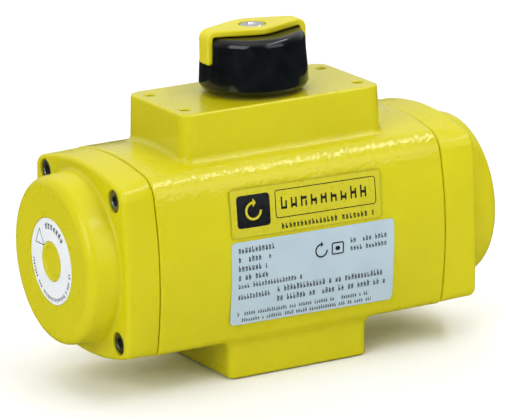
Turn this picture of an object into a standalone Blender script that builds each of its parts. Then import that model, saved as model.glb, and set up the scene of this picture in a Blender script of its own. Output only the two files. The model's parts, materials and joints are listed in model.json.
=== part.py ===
"""Spring-return rack-and-pinion quarter-turn actuator.

Two opposed pistons slide along X inside the housing. Their racks turn a vertical pinion shaft,
which drives a valve below through the star socket in its foot and a position indicator above.
The origin is on the shaft's axis, in the plane of the mounting flange, +Z up, -Y the label side.
Dimensions are in millimetres and are turned into metres where a mesh is made.
"""

import math

import bmesh
import bpy
from mathutils import Matrix, Vector

MM = 0.001

# Housing
AXIS_Z = 52.3             # height of the piston bore's axis
BODY_HALF_LENGTH = 66.0   # joint face to the end cap
BODY_HALF_WIDTH = 39.4
BODY_HALF_HEIGHT = 40.4
BODY_CORNERS = (7.0, 2.8)   # radius of the upper and of the lower edges
BODY_CROWN = (4.8, 4.8)     # how far the sides and the top fall away at the corners
BORE_RADIUS = 29.0
PAD_SIZE = (91.8, 48.2)
PAD_TOP = 110.0
PAD_CORNER = 5.0
SINK = 6.0                # how far the pads and bosses run into the body
FLANGE_SIZE = (64.0, 64.0)
FLANGE_CORNER = 3.0
ACCESSORY_PITCH = (80.0, 30.0)   # VDI/VDE 3845 pattern on the pad
VALVE_CIRCLES = ((50.0, 2.5, 11.0), (70.0, 3.4, 12.0))   # ISO 5211: circle, hole radius, depth
AIR_PAD = (56.0, 36.0)
AIR_PAD_Z = 40.0
AIR_PAD_FACE = 41.0
AIR_PAD_CORNER = 4.0
AIR_PITCH = (32.0, 24.0)         # VDI/VDE 3845 solenoid valve pattern
PORT_PITCH = 24.0
PORT_RADIUS = 5.7
BLIND_PORT = 10.5                # depth of the port that feeds the end chambers
TAPPED_M5 = (2.1, 9.0)           # radius and depth of the tapped holes in the pads
AIR_TAP_DEPTH = 6.0
CAP_TAP = (2.2, 14.0)            # radius and depth of the cap screws' tapped holes
LOWER_POCKET = (17.2, 9.0, 21.0)     # radius, foot and head of the lower bush's pocket
UPPER_POCKET = (11.2, 97.0, 107.2)   # the same for the upper bush
AIRWAY = (30.0, 31.5, 1.8)       # y, z and radius of the drilling that feeds the end chambers

# End caps
CAP_GAP = 0.3
CAP_FACE = 81.3
CAP_HALF_WIDTH = 39.1
CAP_HALF_HEIGHT = 39.9
CAP_CORNERS = (4.5, 3.6)
CAP_CROWN = (1.5, 6.0)
CAP_EDGE = 1.8
CAP_SETBACK = 0.4                # how far the cap's outline stays inside the body's at the joint
DOME_FACE = 95.0
DOME_RADIUS = (35.2, 34.0)       # at its root and at its front edge
DOME_EDGE = 4.6
DOME_FILLET = 1.6
CAVITY_RADIUS = 26.0
CAVITY_END = 91.0
CENTRING_PIN = (10.0, 11.0, 5.0)     # the stud that centres the spring: radii and length
SPIGOT_END = 62.0
SPIGOT_GROOVE = (26.9, 0.8, 3.0)     # floor radius, and where it starts and ends
SCREW_SPREAD = (29.6, 29.3)      # cap screws, sideways and up from the bore's axis
COUNTERBORE = (4.7, 5.9)         # radius and depth
SCREW_HOLE = 2.8
LABEL_RING = (8.3, 17.7)
LABEL_THICK = 0.3
LABEL_LIFT = 0.15
RECESS = 0.6
DISH = (6.4, 7.6, 1.0)           # floor and rim radius of the dish in the dome's middle, depth

# Screws: head radius, head height, shank radius, length, key across flats
CAP_SCREW = (4.3, 5.0, 2.0, 20.0, 4.0)

# Pistons, racks and springs
MODULE = 1.5
TEETH = 16
PITCH_RADIUS = MODULE * TEETH / 2
PRESSURE_ANGLE = math.radians(20)
BACKLASH = 0.12
GEAR_HALF_HEIGHT = 11.0
PISTON_INNER = 27.0
PISTON_OUTER = 41.0
PISTON_RADIUS = 28.8
RACK_END = 26.0
RACK_BACK = 27.0
RACK_TOOTHED_FROM = -9.0
SPRING_RADIUS = 16.5
SPRING_WIRE = 1.8
SPRING_TURNS = 6

# Shaft, cam and stops
JOURNAL_LOW = 15.0
JOURNAL_HIGH = 9.0
SHAFT_BODY = 9.8
SHAFT_TOP = 130.0
SHAFT_FOOT = 0.5
SOCKET_SIDE = 14.0
SOCKET_DEPTH = 17.0
CAM_Z = (65.0, 71.0)
CAM_RADIUS = 20.0
STOP_X = 15.0
STOP_Z = 68.0
STOP_RADIUS = 3.9
STOP_TIP = 6.0
STOP_END = 49.4
STOP_BOSS = 40.2
STOP_BOSS_RADIUS = 8.5
STOP_CLEARANCE = 0.2
STOP_KEY = 4.0
SEAL = (7.4, 1.0)         # outer radius and thickness
NUT = (13.0, 5.1)         # across flats and height
CAM_HUB = 12.4

# Position indicator
DIAL_BOTTOM = 112.0
DIAL_TOP = 134.2
DIAL_RADIUS = (22.4, 21.3)
DIAL_EDGE = 3.5
DIAL_WALL = 3.2
STRAP_TOP = 137.2
STRAP_THICK = 2.8
STRAP_REACH = 23.0
STRAP_END_WIDTH = 8.4
STRAP_MID_WIDTH = 22.8
STRAP_BEND = 3.0
TAB_DROP = 14.0
CHANNEL_GAP = 0.3
DIAL_SCREW = (5.2, 1.4, 2.3, 18.0, 4.0)
DIAL_SCREW_HOLE = 3.3
HEAD_RECESS = (5.6, 1.6)

# Labels on the front: middle x and z, width and height
RATING_PLATE = (3.4, 41.1, 75.5, 34.7)
NAME_STICKER = (1.2, 69.7, 69.7, 19.9)

# Fineness of round shapes
FINE, MEDIUM, COARSE = 28, 20, 10

AXES = {"X": Vector((1, 0, 0)), "Y": Vector((0, 1, 0)), "Z": Vector((0, 0, 1))}


# ---- shared tools ---------------------------------------------------------------------------

def material(name, colour, roughness, metallic):
    mat = bpy.data.materials.get(name) or bpy.data.materials.new(name)
    mat.use_nodes = True
    shader = mat.node_tree.nodes["Principled BSDF"]
    shader.inputs["Base Color"].default_value = (*colour, 1)
    shader.inputs["Roughness"].default_value = roughness
    shader.inputs["Metallic"].default_value = metallic
    mat.diffuse_color = (*colour, 1)
    return mat


LOOKS = {
    "paint": ((0.62, 0.56, 0.01), 0.25, 0.0),
    "black": ((0.01, 0.012, 0.014), 0.3, 0.0),
    "steel": ((0.55, 0.55, 0.56), 0.3, 1.0),
    "dark_steel": ((0.12, 0.12, 0.12), 0.4, 1.0),
    "alloy": ((0.7, 0.71, 0.72), 0.4, 1.0),
    "rubber": ((0.02, 0.02, 0.02), 0.7, 0.0),
    "bearing": ((0.75, 0.72, 0.62), 0.5, 0.0),
    "plate": ((0.38, 0.52, 0.6), 0.4, 0.0),
    "white": ((0.85, 0.86, 0.86), 0.4, 0.0),
}


def in_place(name, bm, look):
    """Turn a bmesh drawn in millimetres into a named object in metres."""
    bmesh.ops.scale(bm, verts=bm.verts, vec=(MM, MM, MM))
    bmesh.ops.recalc_face_normals(bm, faces=bm.faces)
    mesh = bpy.data.meshes.new(name)
    bm.to_mesh(mesh)
    bm.free()
    mesh.shade_smooth()
    mesh.set_sharp_from_angle(angle=math.radians(35))
    obj = bpy.data.objects.new(name, mesh)
    bpy.context.collection.objects.link(obj)
    if look:
        obj.data.materials.append(material(look, *LOOKS[look]))
    return obj


def combine(obj, operation, shapes):
    """Join to obj, or cut from it, a group of shapes, which stay in the scene as guides."""
    label = f"{obj.name}_{operation.lower()}"
    group = bpy.data.collections.new(label)
    bpy.context.scene.collection.children.link(group)
    for number, bm in enumerate(shapes):
        tool = in_place(f"{label}_{number}", bm, None)
        bpy.context.collection.objects.unlink(tool)
        group.objects.link(tool)
        tool.hide_render = True
        tool.display_type = "WIRE"
        tool.hide_set(True)
    step = obj.modifiers.new(label, "BOOLEAN")
    step.operation = operation
    step.solver = "EXACT"
    step.operand_type = "COLLECTION"
    step.collection = group


def join(obj, *shapes):
    combine(obj, "UNION", shapes)


def cut(obj, *shapes):
    combine(obj, "DIFFERENCE", shapes)


def on_axis(obj, pivot):
    """Move an object's origin to a point on its joint's axis, leaving its mesh where it is."""
    shift = Vector(pivot) * MM
    obj.data.transform(Matrix.Translation(-shift))
    obj.location = shift


def turned(profile, axis="X", count=MEDIUM, centre=(0, 0, 0)):
    """A closed profile of (radius, height) points turned about an axis through centre."""
    bm = bmesh.new()
    turn = AXES["Z"].rotation_difference(AXES[axis]).to_matrix()
    rings = []
    for radius, height in profile:
        if radius < 1e-6:
            rings.append([bm.verts.new(turn @ Vector((0, 0, height)) + Vector(centre))])
            continue
        ring = []
        for k in range(count):
            a = 2 * math.pi * k / count
            point = Vector((radius * math.cos(a), radius * math.sin(a), height))
            ring.append(bm.verts.new(turn @ point + Vector(centre)))
        rings.append(ring)
    for low, high in zip(rings, rings[1:] + rings[:1]):
        for k in range(count):
            corners = [low[k % len(low)], low[(k + 1) % len(low)],
                       high[(k + 1) % len(high)], high[k % len(high)]]
            kept = list(dict.fromkeys(corners))
            if len(kept) > 2:
                bm.faces.new(kept)
    return bm


def rod(radius, start, end, axis, count=COARSE, centre=(0, 0, 0)):
    return turned([(0, start), (radius, start), (radius, end), (0, end)], axis, count, centre)


def stick(start, end, radius, count=8):
    """A cylinder between two points."""
    start, end = Vector(start), Vector(end)
    bm = rod(radius, 0, (end - start).length, "Z", count)
    turn = AXES["Z"].rotation_difference(end - start).to_matrix().to_4x4()
    bmesh.ops.transform(bm, matrix=Matrix.Translation(start) @ turn, verts=bm.verts)
    return bm


def loft(rings):
    """Bridge rings of equal length and fill both ends."""
    bm = bmesh.new()
    made = [[bm.verts.new(p) for p in ring] for ring in rings]
    n = len(made[0])
    for low, high in zip(made, made[1:]):
        for k in range(n):
            bm.faces.new((low[k], low[(k + 1) % n], high[(k + 1) % n], high[k]))
    bm.faces.new(made[0])
    bm.faces.new(made[-1])
    return bm


def prism(outline, low, high, axis="Z"):
    """Extrude an outline: (x, y) along Z, (x, z) along Y or (y, z) along X."""
    def put(u, v, w):
        return {"X": (w, u, v), "Y": (u, w, v), "Z": (u, v, w)}[axis]
    return loft([[put(u, v, w) for u, v in outline] for w in (low, high)])


def rounded_outline(half_u, half_v, corners, crown=(0.0, 0.0), steps=4, sides=0):
    """A rounded rectangle, with an upper and a lower corner radius, whose sides bow by the crown."""
    arcs = []
    for quarter, (su, sv) in enumerate(((1, 1), (-1, 1), (-1, -1), (1, -1))):
        corner = corners[0] if sv > 0 else corners[1]
        turns = [(quarter + k / steps) * math.pi / 2 for k in range(steps + 1)]
        arcs.append([(su * (half_u - corner) + corner * math.cos(a),
                      sv * (half_v - corner) + corner * math.sin(a)) for a in turns])
    points = []
    for arc, following in zip(arcs, arcs[1:] + arcs[:1]):
        (u0, v0), (u1, v1) = arc[-1], following[0]
        points += arc
        points += [(u0 + (u1 - u0) * k / (sides + 1), v0 + (v1 - v0) * k / (sides + 1))
                   for k in range(1, sides + 1)]
    return [(u * (1 - crown[0] / half_u * (v / half_v) ** 2),
             v * (1 - crown[1] / half_v * (u / half_u) ** 2)) for u, v in points]


def even_outline(size, corner):
    """A rounded rectangle of the given full size with four equal corners."""
    return rounded_outline(size[0] / 2, size[1] / 2, (corner, corner))


def body_outline(grow=0.0):
    outline = rounded_outline(BODY_HALF_WIDTH + grow, BODY_HALF_HEIGHT + grow,
                              BODY_CORNERS, BODY_CROWN, 2, 4)
    return [(y, AXIS_Z + z) for y, z in outline]


def side_depth(z):
    """How far the housing's crowned side stands from the middle at height z."""
    return BODY_HALF_WIDTH - BODY_CROWN[0] * ((z - AXIS_Z) / BODY_HALF_HEIGHT) ** 2


def hexagon(across_flats, turn=0.0):
    reach = across_flats / 2 / math.cos(math.pi / 6)
    return [(reach * math.cos(turn + k * math.pi / 3), reach * math.sin(turn + k * math.pi / 3))
            for k in range(6)]


def mirrored(bm, side):
    """The left-hand copy of a right-hand shape when side is -1."""
    if side < 0:
        bmesh.ops.rotate(bm, verts=bm.verts, cent=(0, 0, 0), matrix=Matrix.Rotation(math.pi, 3, "Z"))
    return bm


def side_name(side):
    return "left" if side < 0 else "right"


# ---- housing --------------------------------------------------------------------------------

def make_housing():
    half = BODY_HALF_LENGTH
    housing = in_place("housing", prism(body_outline(), -half, half, "X"), "paint")
    pad = even_outline(PAD_SIZE, PAD_CORNER)
    flange = even_outline(FLANGE_SIZE, FLANGE_CORNER)
    air = [(x, AIR_PAD_Z + z) for x, z in even_outline(AIR_PAD, AIR_PAD_CORNER)]
    deep, high = BODY_HALF_WIDTH - SINK, AXIS_Z + BODY_HALF_HEIGHT - 1.4 * SINK
    low = AXIS_Z - BODY_HALF_HEIGHT + 1.4 * SINK
    bosses = [rod(STOP_BOSS_RADIUS, deep, STOP_BOSS, "Y", MEDIUM, centre=(x, 0, STOP_Z))
              for x in (-STOP_X, STOP_X)]
    join(housing, prism(pad, high, PAD_TOP), prism(flange, 0, low),
         prism(air, deep, AIR_PAD_FACE, "Y"), *bosses)
    bore = rod(BORE_RADIUS, -half - 5, half + 5, "X", FINE, centre=(0, 0, AXIS_Z))
    cut(housing, bore, shaft_bore(), *threaded_holes(), *port_holes(), *airways())


def shaft_bore():
    """The stepped vertical bore, with the pockets of the lower and the upper bush."""
    top, low, high = PAD_TOP + 1, JOURNAL_LOW + 0.4, JOURNAL_HIGH + 0.4
    wide, foot, head = LOWER_POCKET
    steps = [(0, -1), (low, -1), (low, foot), (wide, foot), (wide, head), (low, head),
             (low, AXIS_Z), (high, AXIS_Z)]
    wide, foot, head = UPPER_POCKET
    steps += [(high, foot), (wide, foot), (wide, head), (high, head), (high, top), (0, top)]
    return turned(steps, "Z", MEDIUM)


def threaded_holes():
    """The holes of the accessory pad, the valve flange, the cap screws and the air pad."""
    shapes = []
    radius_m5, depth_m5 = TAPPED_M5
    cap_radius, cap_depth = CAP_TAP
    for sx in (-1, 1):
        for sy in (-1, 1):
            centre = (sx * ACCESSORY_PITCH[0] / 2, sy * ACCESSORY_PITCH[1] / 2, 0)
            shapes.append(rod(radius_m5, PAD_TOP - depth_m5, PAD_TOP + 1, "Z", 8, centre=centre))
            for circle, radius, depth in VALVE_CIRCLES:
                place = circle / 2 / math.sqrt(2)
                shapes.append(rod(radius, -1, depth, "Z", 8, centre=(sx * place, sy * place, 0)))
            screw = (0, sy * SCREW_SPREAD[0], AXIS_Z + sx * SCREW_SPREAD[1])
            for end in (-1, 1):
                low, high = sorted((end * (BODY_HALF_LENGTH - cap_depth),
                                    end * (BODY_HALF_LENGTH + 1)))
                shapes.append(rod(cap_radius, low, high, "X", COARSE, centre=screw))
            air = (sx * AIR_PITCH[0] / 2, 0, AIR_PAD_Z + sy * AIR_PITCH[1] / 2)
            shapes.append(rod(radius_m5, AIR_PAD_FACE - AIR_TAP_DEPTH, AIR_PAD_FACE + 1, "Y", 8,
                              centre=air))
    return shapes


def port_holes():
    """The two air ports, one of them open to the bore, and the two travel stops' bores."""
    front = AIR_PAD_FACE + 1
    inside = BORE_RADIUS / 2
    shapes = [rod(PORT_RADIUS, inside, front, "Y", COARSE, centre=(-PORT_PITCH / 2, 0, AIR_PAD_Z)),
              rod(PORT_RADIUS, AIR_PAD_FACE - BLIND_PORT, front, "Y", COARSE,
                  centre=(PORT_PITCH / 2, 0, AIR_PAD_Z))]
    for side in (-1, 1):
        shapes.append(rod(STOP_RADIUS + STOP_CLEARANCE, inside, STOP_BOSS + 1, "Y", COARSE,
                          centre=(side * STOP_X, 0, STOP_Z)))
    return shapes


def airways():
    """The drilling from end to end that feeds both end chambers, and its link to the port."""
    y, z, radius = AIRWAY
    reach = BODY_HALF_LENGTH + 1
    link = PORT_PITCH / 2
    return [rod(radius, -reach, reach, "X", 8, centre=(0, y, z)),
            stick((link, y + 2, AIR_PAD_Z - 2), (link, y, z), radius * 0.9)]


# ---- end caps -------------------------------------------------------------------------------

def flange_ring(x, blend, inset=0.0):
    """The flange's outline at x: the housing's at blend 0, the squarer one of its face at 1."""
    face = rounded_outline(CAP_HALF_WIDTH, CAP_HALF_HEIGHT, CAP_CORNERS, CAP_CROWN, 2, 4)
    points = []
    for (y0, z0), (y1, z1) in zip(body_outline(-CAP_SETBACK), face):
        y, z = y0 + (y1 - y0) * blend, z0 - AXIS_Z + (z1 - z0 + AXIS_Z) * blend
        shrink = 1 - inset / math.hypot(y, z)
        points.append((x, y * shrink, AXIS_Z + z * shrink))
    return points


def cap_flange():
    """The square flange, from the housing's outline to the squarer outline of its face."""
    near, far = BODY_HALF_LENGTH + CAP_GAP, CAP_FACE
    return loft([flange_ring(near, 0), flange_ring((near + far) / 2, 0.7),
                 flange_ring(far - CAP_EDGE, 1), flange_ring(far, 1, CAP_EDGE)])


def cap_dome():
    """The round dome, with a recess in its face for the ring label and a dish in the middle."""
    root, front = DOME_RADIUS
    start = CAP_FACE - SINK
    profile = [(0, start), (root + DOME_FILLET, start), (root + DOME_FILLET, CAP_FACE - 0.1),
               (root, CAP_FACE + DOME_FILLET)]
    for k in range(3):
        a = k / 2 * math.pi / 2
        profile.append((front - DOME_EDGE * (1 - math.cos(a)),
                        DOME_FACE - DOME_EDGE * (1 - math.sin(a))))
    inner, outer = LABEL_RING
    floor, rim, depth = DISH
    profile += [(outer + 0.3, DOME_FACE), (outer + 0.3, DOME_FACE - RECESS),
                (inner - 0.3, DOME_FACE - RECESS), (rim, DOME_FACE - LABEL_LIFT),
                (floor, DOME_FACE - depth), (0, DOME_FACE - depth)]
    return turned(profile, "X", FINE, centre=(0, 0, AXIS_Z))


def cap_hollow():
    near = SPIGOT_END - 1
    tip, foot, length = CENTRING_PIN
    return turned([(0, near), (CAVITY_RADIUS, near), (CAVITY_RADIUS, CAVITY_END),
                   (foot, CAVITY_END), (tip, CAVITY_END - length), (0, CAVITY_END - length)],
                  "X", MEDIUM, centre=(0, 0, AXIS_Z))


def cap_spigot():
    """The turned spigot that centres the cap in the bore, with its ring groove."""
    radius, near, far = BORE_RADIUS - 0.3, SPIGOT_END, CAP_FACE - SINK
    floor, start, end = SPIGOT_GROOVE
    return turned([(0, near), (radius, near), (radius, near + start), (floor, near + start),
                   (floor, near + end), (radius, near + end), (radius, far), (0, far)],
                  "X", FINE, centre=(0, 0, AXIS_Z))


def cap_holes():
    """Clearance holes with counterbores for the four screws."""
    wide, depth = COUNTERBORE
    start, floor, end = SPIGOT_END - 1, CAP_FACE - depth, DOME_FACE + 1
    profile = [(0, start), (SCREW_HOLE, start), (SCREW_HOLE, floor), (wide, floor), (wide, end),
               (0, end)]
    return [turned(profile, "X", COARSE,
                   centre=(0, sy * SCREW_SPREAD[0], AXIS_Z + sz * SCREW_SPREAD[1]))
            for sy in (-1, 1) for sz in (-1, 1)]


def make_end_cap(side):
    cap = in_place(f"end_cap_{side_name(side)}", mirrored(cap_flange(), side), "paint")
    join(cap, mirrored(cap_dome(), side), mirrored(cap_spigot(), side))
    y, z, radius = AIRWAY
    mouth = Vector((side * BODY_HALF_LENGTH, y, z))
    turn = Vector((side * (BODY_HALF_LENGTH + 4), y, z))
    beyond = Vector((side * (BODY_HALF_LENGTH + 7), y, z))
    inward = Vector((0, -y, AXIS_Z - z)).normalized() * 20
    cut(cap, mirrored(cap_hollow(), side), *[mirrored(hole, side) for hole in cap_holes()],
        stick(mouth, beyond, radius), stick(turn, turn + inward, radius * 0.8))


def make_cap_ring(side):
    profile = circle_profile(27.8, SPIGOT_END + 1.9, 0.8, 5)
    bm = turned(profile, "X", FINE, centre=(0, 0, AXIS_Z))
    in_place(f"cap_o_ring_{side_name(side)}", mirrored(bm, side), "rubber")


def circle_profile(radius, height, wire, steps):
    return [(radius + wire * math.cos(2 * math.pi * k / steps),
             height + wire * math.sin(2 * math.pi * k / steps)) for k in range(steps)]


def socket_screw(head_radius, head_height, shank_radius, length, key):
    """A socket-head screw pointing down -Z with its head's underside at zero."""
    bm = turned([(0, -length), (shank_radius, -length), (shank_radius, 0), (head_radius, 0),
                 (head_radius, head_height), (0, head_height)], "Z", COARSE)
    return bm, prism(hexagon(key), head_height * 0.45, head_height + 1)


def make_cap_screw(side, number, sy, sz):
    turn = Matrix.Rotation(side * math.pi / 2, 4, "Y")
    under_head = CAP_FACE - COUNTERBORE[1] + 0.2
    place = Vector((side * under_head, sy * SCREW_SPREAD[0], AXIS_Z + sz * SCREW_SPREAD[1]))
    bm, key = socket_screw(*CAP_SCREW)
    for shape in (bm, key):
        bmesh.ops.transform(shape, matrix=Matrix.Translation(place) @ turn, verts=shape.verts)
    screw = in_place(f"cap_screw_{side_name(side)}_{number}", bm, "dark_steel")
    cut(screw, key)


def make_label_ring(side):
    inner, outer = LABEL_RING
    low = DOME_FACE - RECESS + LABEL_LIFT
    high = low + LABEL_THICK
    bm = turned([(inner, low), (outer, low), (outer, high), (inner, high)], "X", FINE,
                centre=(0, 0, AXIS_Z))
    in_place(f"label_ring_{side_name(side)}", mirrored(bm, side), "white")


# ---- pistons, racks and springs -------------------------------------------------------------

def rack_teeth():
    """The toothed edge of the rack on the +Y side, from its outer end to its free end."""
    pitch = math.pi * MODULE
    tip, root = PITCH_RADIUS - MODULE, PITCH_RADIUS + 1.25 * MODULE
    slope = math.tan(PRESSURE_ANGLE)
    half = pitch / 4 - BACKLASH
    edge = []
    first = math.ceil(RACK_TOOTHED_FROM / pitch - 0.5) + 0.5
    count = int((RACK_END - first * pitch) / pitch) + 1
    for k in range(count):
        x = (first + k) * pitch
        if x + pitch / 2 > RACK_END:
            break
        edge += [(x - half - slope * (root - PITCH_RADIUS), root), (x - half + slope * MODULE, tip),
                 (x + half - slope * MODULE, tip), (x + half + slope * (root - PITCH_RADIUS), root)]
    return edge, root


def piston_head():
    inner, outer, radius = PISTON_INNER, PISTON_OUTER, PISTON_RADIUS
    return turned([(0, inner), (radius, inner), (radius, inner + 3.5),
                   (25.9, inner + 3.5), (25.9, inner + 7), (radius, inner + 7),
                   (radius, inner + 9), (27.3, inner + 9), (27.3, inner + 13),
                   (radius, inner + 13), (radius, outer), (21.5, outer), (21.5, outer - 8),
                   (11.5, outer - 8), (11.5, outer - 1), (0, outer - 1)],
                  "X", FINE, centre=(0, 0, AXIS_Z))


def rack_bar():
    """The rack's bar: its front carries the teeth, its bevelled back follows the bore."""
    edge, root = rack_teeth()
    start, end = -(PISTON_INNER + 2), RACK_END
    toothed = [(start, root)] + edge + [(end, root)]
    layers = []
    for level in (-1, -0.5, 0.5, 1):
        height = level * GEAR_HALF_HEIGHT
        back = math.sqrt(RACK_BACK ** 2 - height ** 2)
        outline = toothed + [(end, back), (start, back)]
        layers.append([(x, y, AXIS_Z + height) for x, y in outline])
    return loft(layers)


def make_piston(side):
    """The piston on the given side; its rack runs on the side of the shaft that opens it."""
    name = f"piston_{side_name(side)}"
    piston = in_place(name, mirrored(piston_head(), side), "alloy")
    join(piston, mirrored(rack_bar(), -side))
    on_axis(piston, (side * PISTON_INNER, 0, AXIS_Z))

    ring = turned(circle_profile(27.35, PISTON_INNER + 5.25, 1.3, 5), "X", FINE,
                  centre=(0, 0, AXIS_Z))
    in_place(f"piston_o_ring_{side_name(side)}", mirrored(ring, side), "rubber")
    low, high = PISTON_INNER + 9.2, PISTON_INNER + 12.8
    band = turned([(27.5, low), (28.85, low), (28.85, high), (27.5, high)], "X", FINE,
                  centre=(0, 0, AXIS_Z))
    in_place(f"guide_band_{side_name(side)}", mirrored(band, side), "bearing")
    in_place(f"rack_pad_{side_name(side)}", mirrored(rack_pad(), -side), "bearing")


def rack_pad():
    """The wear strip between the rack's back and the bore, part of a tube."""
    rings = []
    for x in (2.0, 20.0):
        ring = []
        for radius, steps in ((RACK_BACK + 0.25, range(-3, 4)), (BORE_RADIUS - 0.25, range(3, -4, -1))):
            for k in steps:
                a = math.radians(5.0) * k
                ring.append((x, radius * math.cos(a), AXIS_Z + radius * math.sin(a)))
        rings.append(ring)
    return loft(rings)


def make_spring(side):
    """A compression spring between the piston's pocket and the cap's end wall."""
    start = PISTON_OUTER - 8 + SPRING_WIRE + 0.3
    end = CAVITY_END - SPRING_WIRE - 0.3
    steps, sides = SPRING_TURNS * 10, 5
    rings = []
    for k in range(steps + 1):
        t = k / steps
        lead = (t - 0.5) * 1.25
        x = start + (end - start) * min(max(lead + 0.5, 0), 1)
        a = 2 * math.pi * SPRING_TURNS * t
        out = Vector((0, math.cos(a), math.sin(a)))
        ring = []
        for j in range(sides):
            b = 2 * math.pi * j / sides
            point = out * (SPRING_RADIUS + SPRING_WIRE * math.cos(b))
            ring.append(point + Vector((x + SPRING_WIRE * math.sin(b), 0, AXIS_Z)))
        rings.append(ring)
    in_place(f"return_spring_{side_name(side)}", mirrored(loft(rings), side), "steel")


# ---- shaft ----------------------------------------------------------------------------------

def gear_outline():
    """The pinion's outline, with involute flanks and a tooth on +Y."""
    base = PITCH_RADIUS * math.cos(PRESSURE_ANGLE)
    tip, root = PITCH_RADIUS + MODULE, PITCH_RADIUS - 1.25 * MODULE
    half_pitch = math.pi / (2 * TEETH) - BACKLASH / PITCH_RADIUS
    involute_at_pitch = math.tan(PRESSURE_ANGLE) - PRESSURE_ANGLE
    flank = []
    for radius in (root, base, (base + tip) / 2, tip):
        roll = math.acos(min(1.0, base / max(radius, base)))
        flank.append((radius, half_pitch + involute_at_pitch - (math.tan(roll) - roll)))
    outline = []
    for tooth in range(TEETH):
        middle = math.pi / 2 + tooth * 2 * math.pi / TEETH
        for radius, angle in flank:
            outline.append((radius, middle - angle))
        for radius, angle in reversed(flank):
            outline.append((radius, middle + angle))
    return [(r * math.cos(a), r * math.sin(a)) for r, a in outline]


def star(side_length):
    """The eight-pointed outline of two squares turned 45 degrees to each other."""
    reach = side_length / math.sqrt(2)
    notch = side_length / 2 / math.cos(math.pi / 8)
    return [((reach if k % 2 == 0 else notch) * math.cos(math.pi / 4 + k * math.pi / 8),
             (reach if k % 2 == 0 else notch) * math.sin(math.pi / 4 + k * math.pi / 8))
            for k in range(16)]


def make_shaft():
    low, high = JOURNAL_LOW, JOURNAL_HIGH
    steps = [(0, SHAFT_FOOT), (low, SHAFT_FOOT), (low, 4.6), (13.2, 4.6), (13.2, 6.8), (low, 6.8),
             (low, 22.5), (SHAFT_BODY, 23.5), (SHAFT_BODY, 76), (high, 77), (high, 92), (7.6, 92),
             (7.6, 94.2), (high, 94.2), (high, 112.4), (8.1, 112.4), (8.1, 113.7), (high, 113.7),
             (high, 115), (7, 116), (7, SHAFT_TOP), (0, SHAFT_TOP)]
    shaft = in_place("pinion_shaft", turned(steps, "Z", MEDIUM), "steel")
    low_z, high_z = AXIS_Z - GEAR_HALF_HEIGHT, AXIS_Z + GEAR_HALF_HEIGHT
    join(shaft, prism(gear_outline(), low_z, high_z))
    flats = []
    for sy in (-1, 1):
        edges = sorted((sy * 5.0, sy * 9.0))
        flats.append(prism([(-9, edges[0]), (9, edges[0]), (9, edges[1]), (-9, edges[1])],
                           118, SHAFT_TOP + 1))
    cut(shaft, prism(star(SOCKET_SIDE), -1, SOCKET_DEPTH),
        rod(2.6, SHAFT_TOP - 14, SHAFT_TOP + 1, "Z", 8), *flats)
    on_axis(shaft, (0, 0, AXIS_Z))


def make_stop_cam():
    """A hub with one lobe, whose two flat ends meet the stop bolts a quarter turn apart."""
    flat = STOP_TIP - 0.3
    reach = math.sqrt(CAM_RADIUS ** 2 - flat ** 2)
    start, end = math.atan2(flat, -reach), math.atan2(-reach, flat) + 2 * math.pi
    lobe = [(CAM_RADIUS * math.cos(a), CAM_RADIUS * math.sin(a))
            for a in (start + (end - start) * k / 14 for k in range(15))]
    meet = math.sqrt(CAM_HUB ** 2 - flat ** 2)
    first, last = math.atan2(-meet, flat), math.atan2(flat, -meet)
    hub_arc = [(CAM_HUB * math.cos(a), CAM_HUB * math.sin(a))
               for a in (first + (last - first) * k / 14 for k in range(15))]
    cam = in_place("stop_cam", prism(lobe + hub_arc, *CAM_Z), "steel")
    cut(cam, rod(SHAFT_BODY + 0.2, CAM_Z[0] - 1, CAM_Z[1] + 1, "Z", MEDIUM))


def tube(name, inner, outer, low, high, look, count=MEDIUM):
    return in_place(name, turned([(inner, low), (outer, low), (outer, high), (inner, high)], "Z",
                                 count), look)


def make_bearings():
    tube("lower_bush", JOURNAL_LOW + 0.3, 17.0, 9.3, 20.7, "bearing")
    tube("upper_bush", JOURNAL_HIGH + 0.3, 11.0, 97.3, 106.9, "bearing")
    in_place("lower_shaft_o_ring", turned(circle_profile(14.1, 5.7, 0.8, 5), "Z", MEDIUM), "rubber")
    in_place("upper_shaft_o_ring", turned(circle_profile(8.35, 93.1, 0.6, 5), "Z", MEDIUM), "rubber")
    tube("thrust_washer", JOURNAL_HIGH + 0.3, 14.5, PAD_TOP + 0.3, 112.2, "bearing")
    make_snap_ring()


def make_snap_ring():
    """An external retaining ring, open on one side."""
    inner, outer, gap = 8.3, 11.6, math.radians(24)
    turns = [gap + (2 * math.pi - 2 * gap) * k / 24 for k in range(25)]
    outline = [(outer * math.cos(a), outer * math.sin(a)) for a in turns]
    outline += [(inner * math.cos(a), inner * math.sin(a)) for a in reversed(turns)]
    in_place("snap_ring", prism(outline, 112.6, 113.5), "dark_steel")


# ---- travel stops ---------------------------------------------------------------------------

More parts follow.
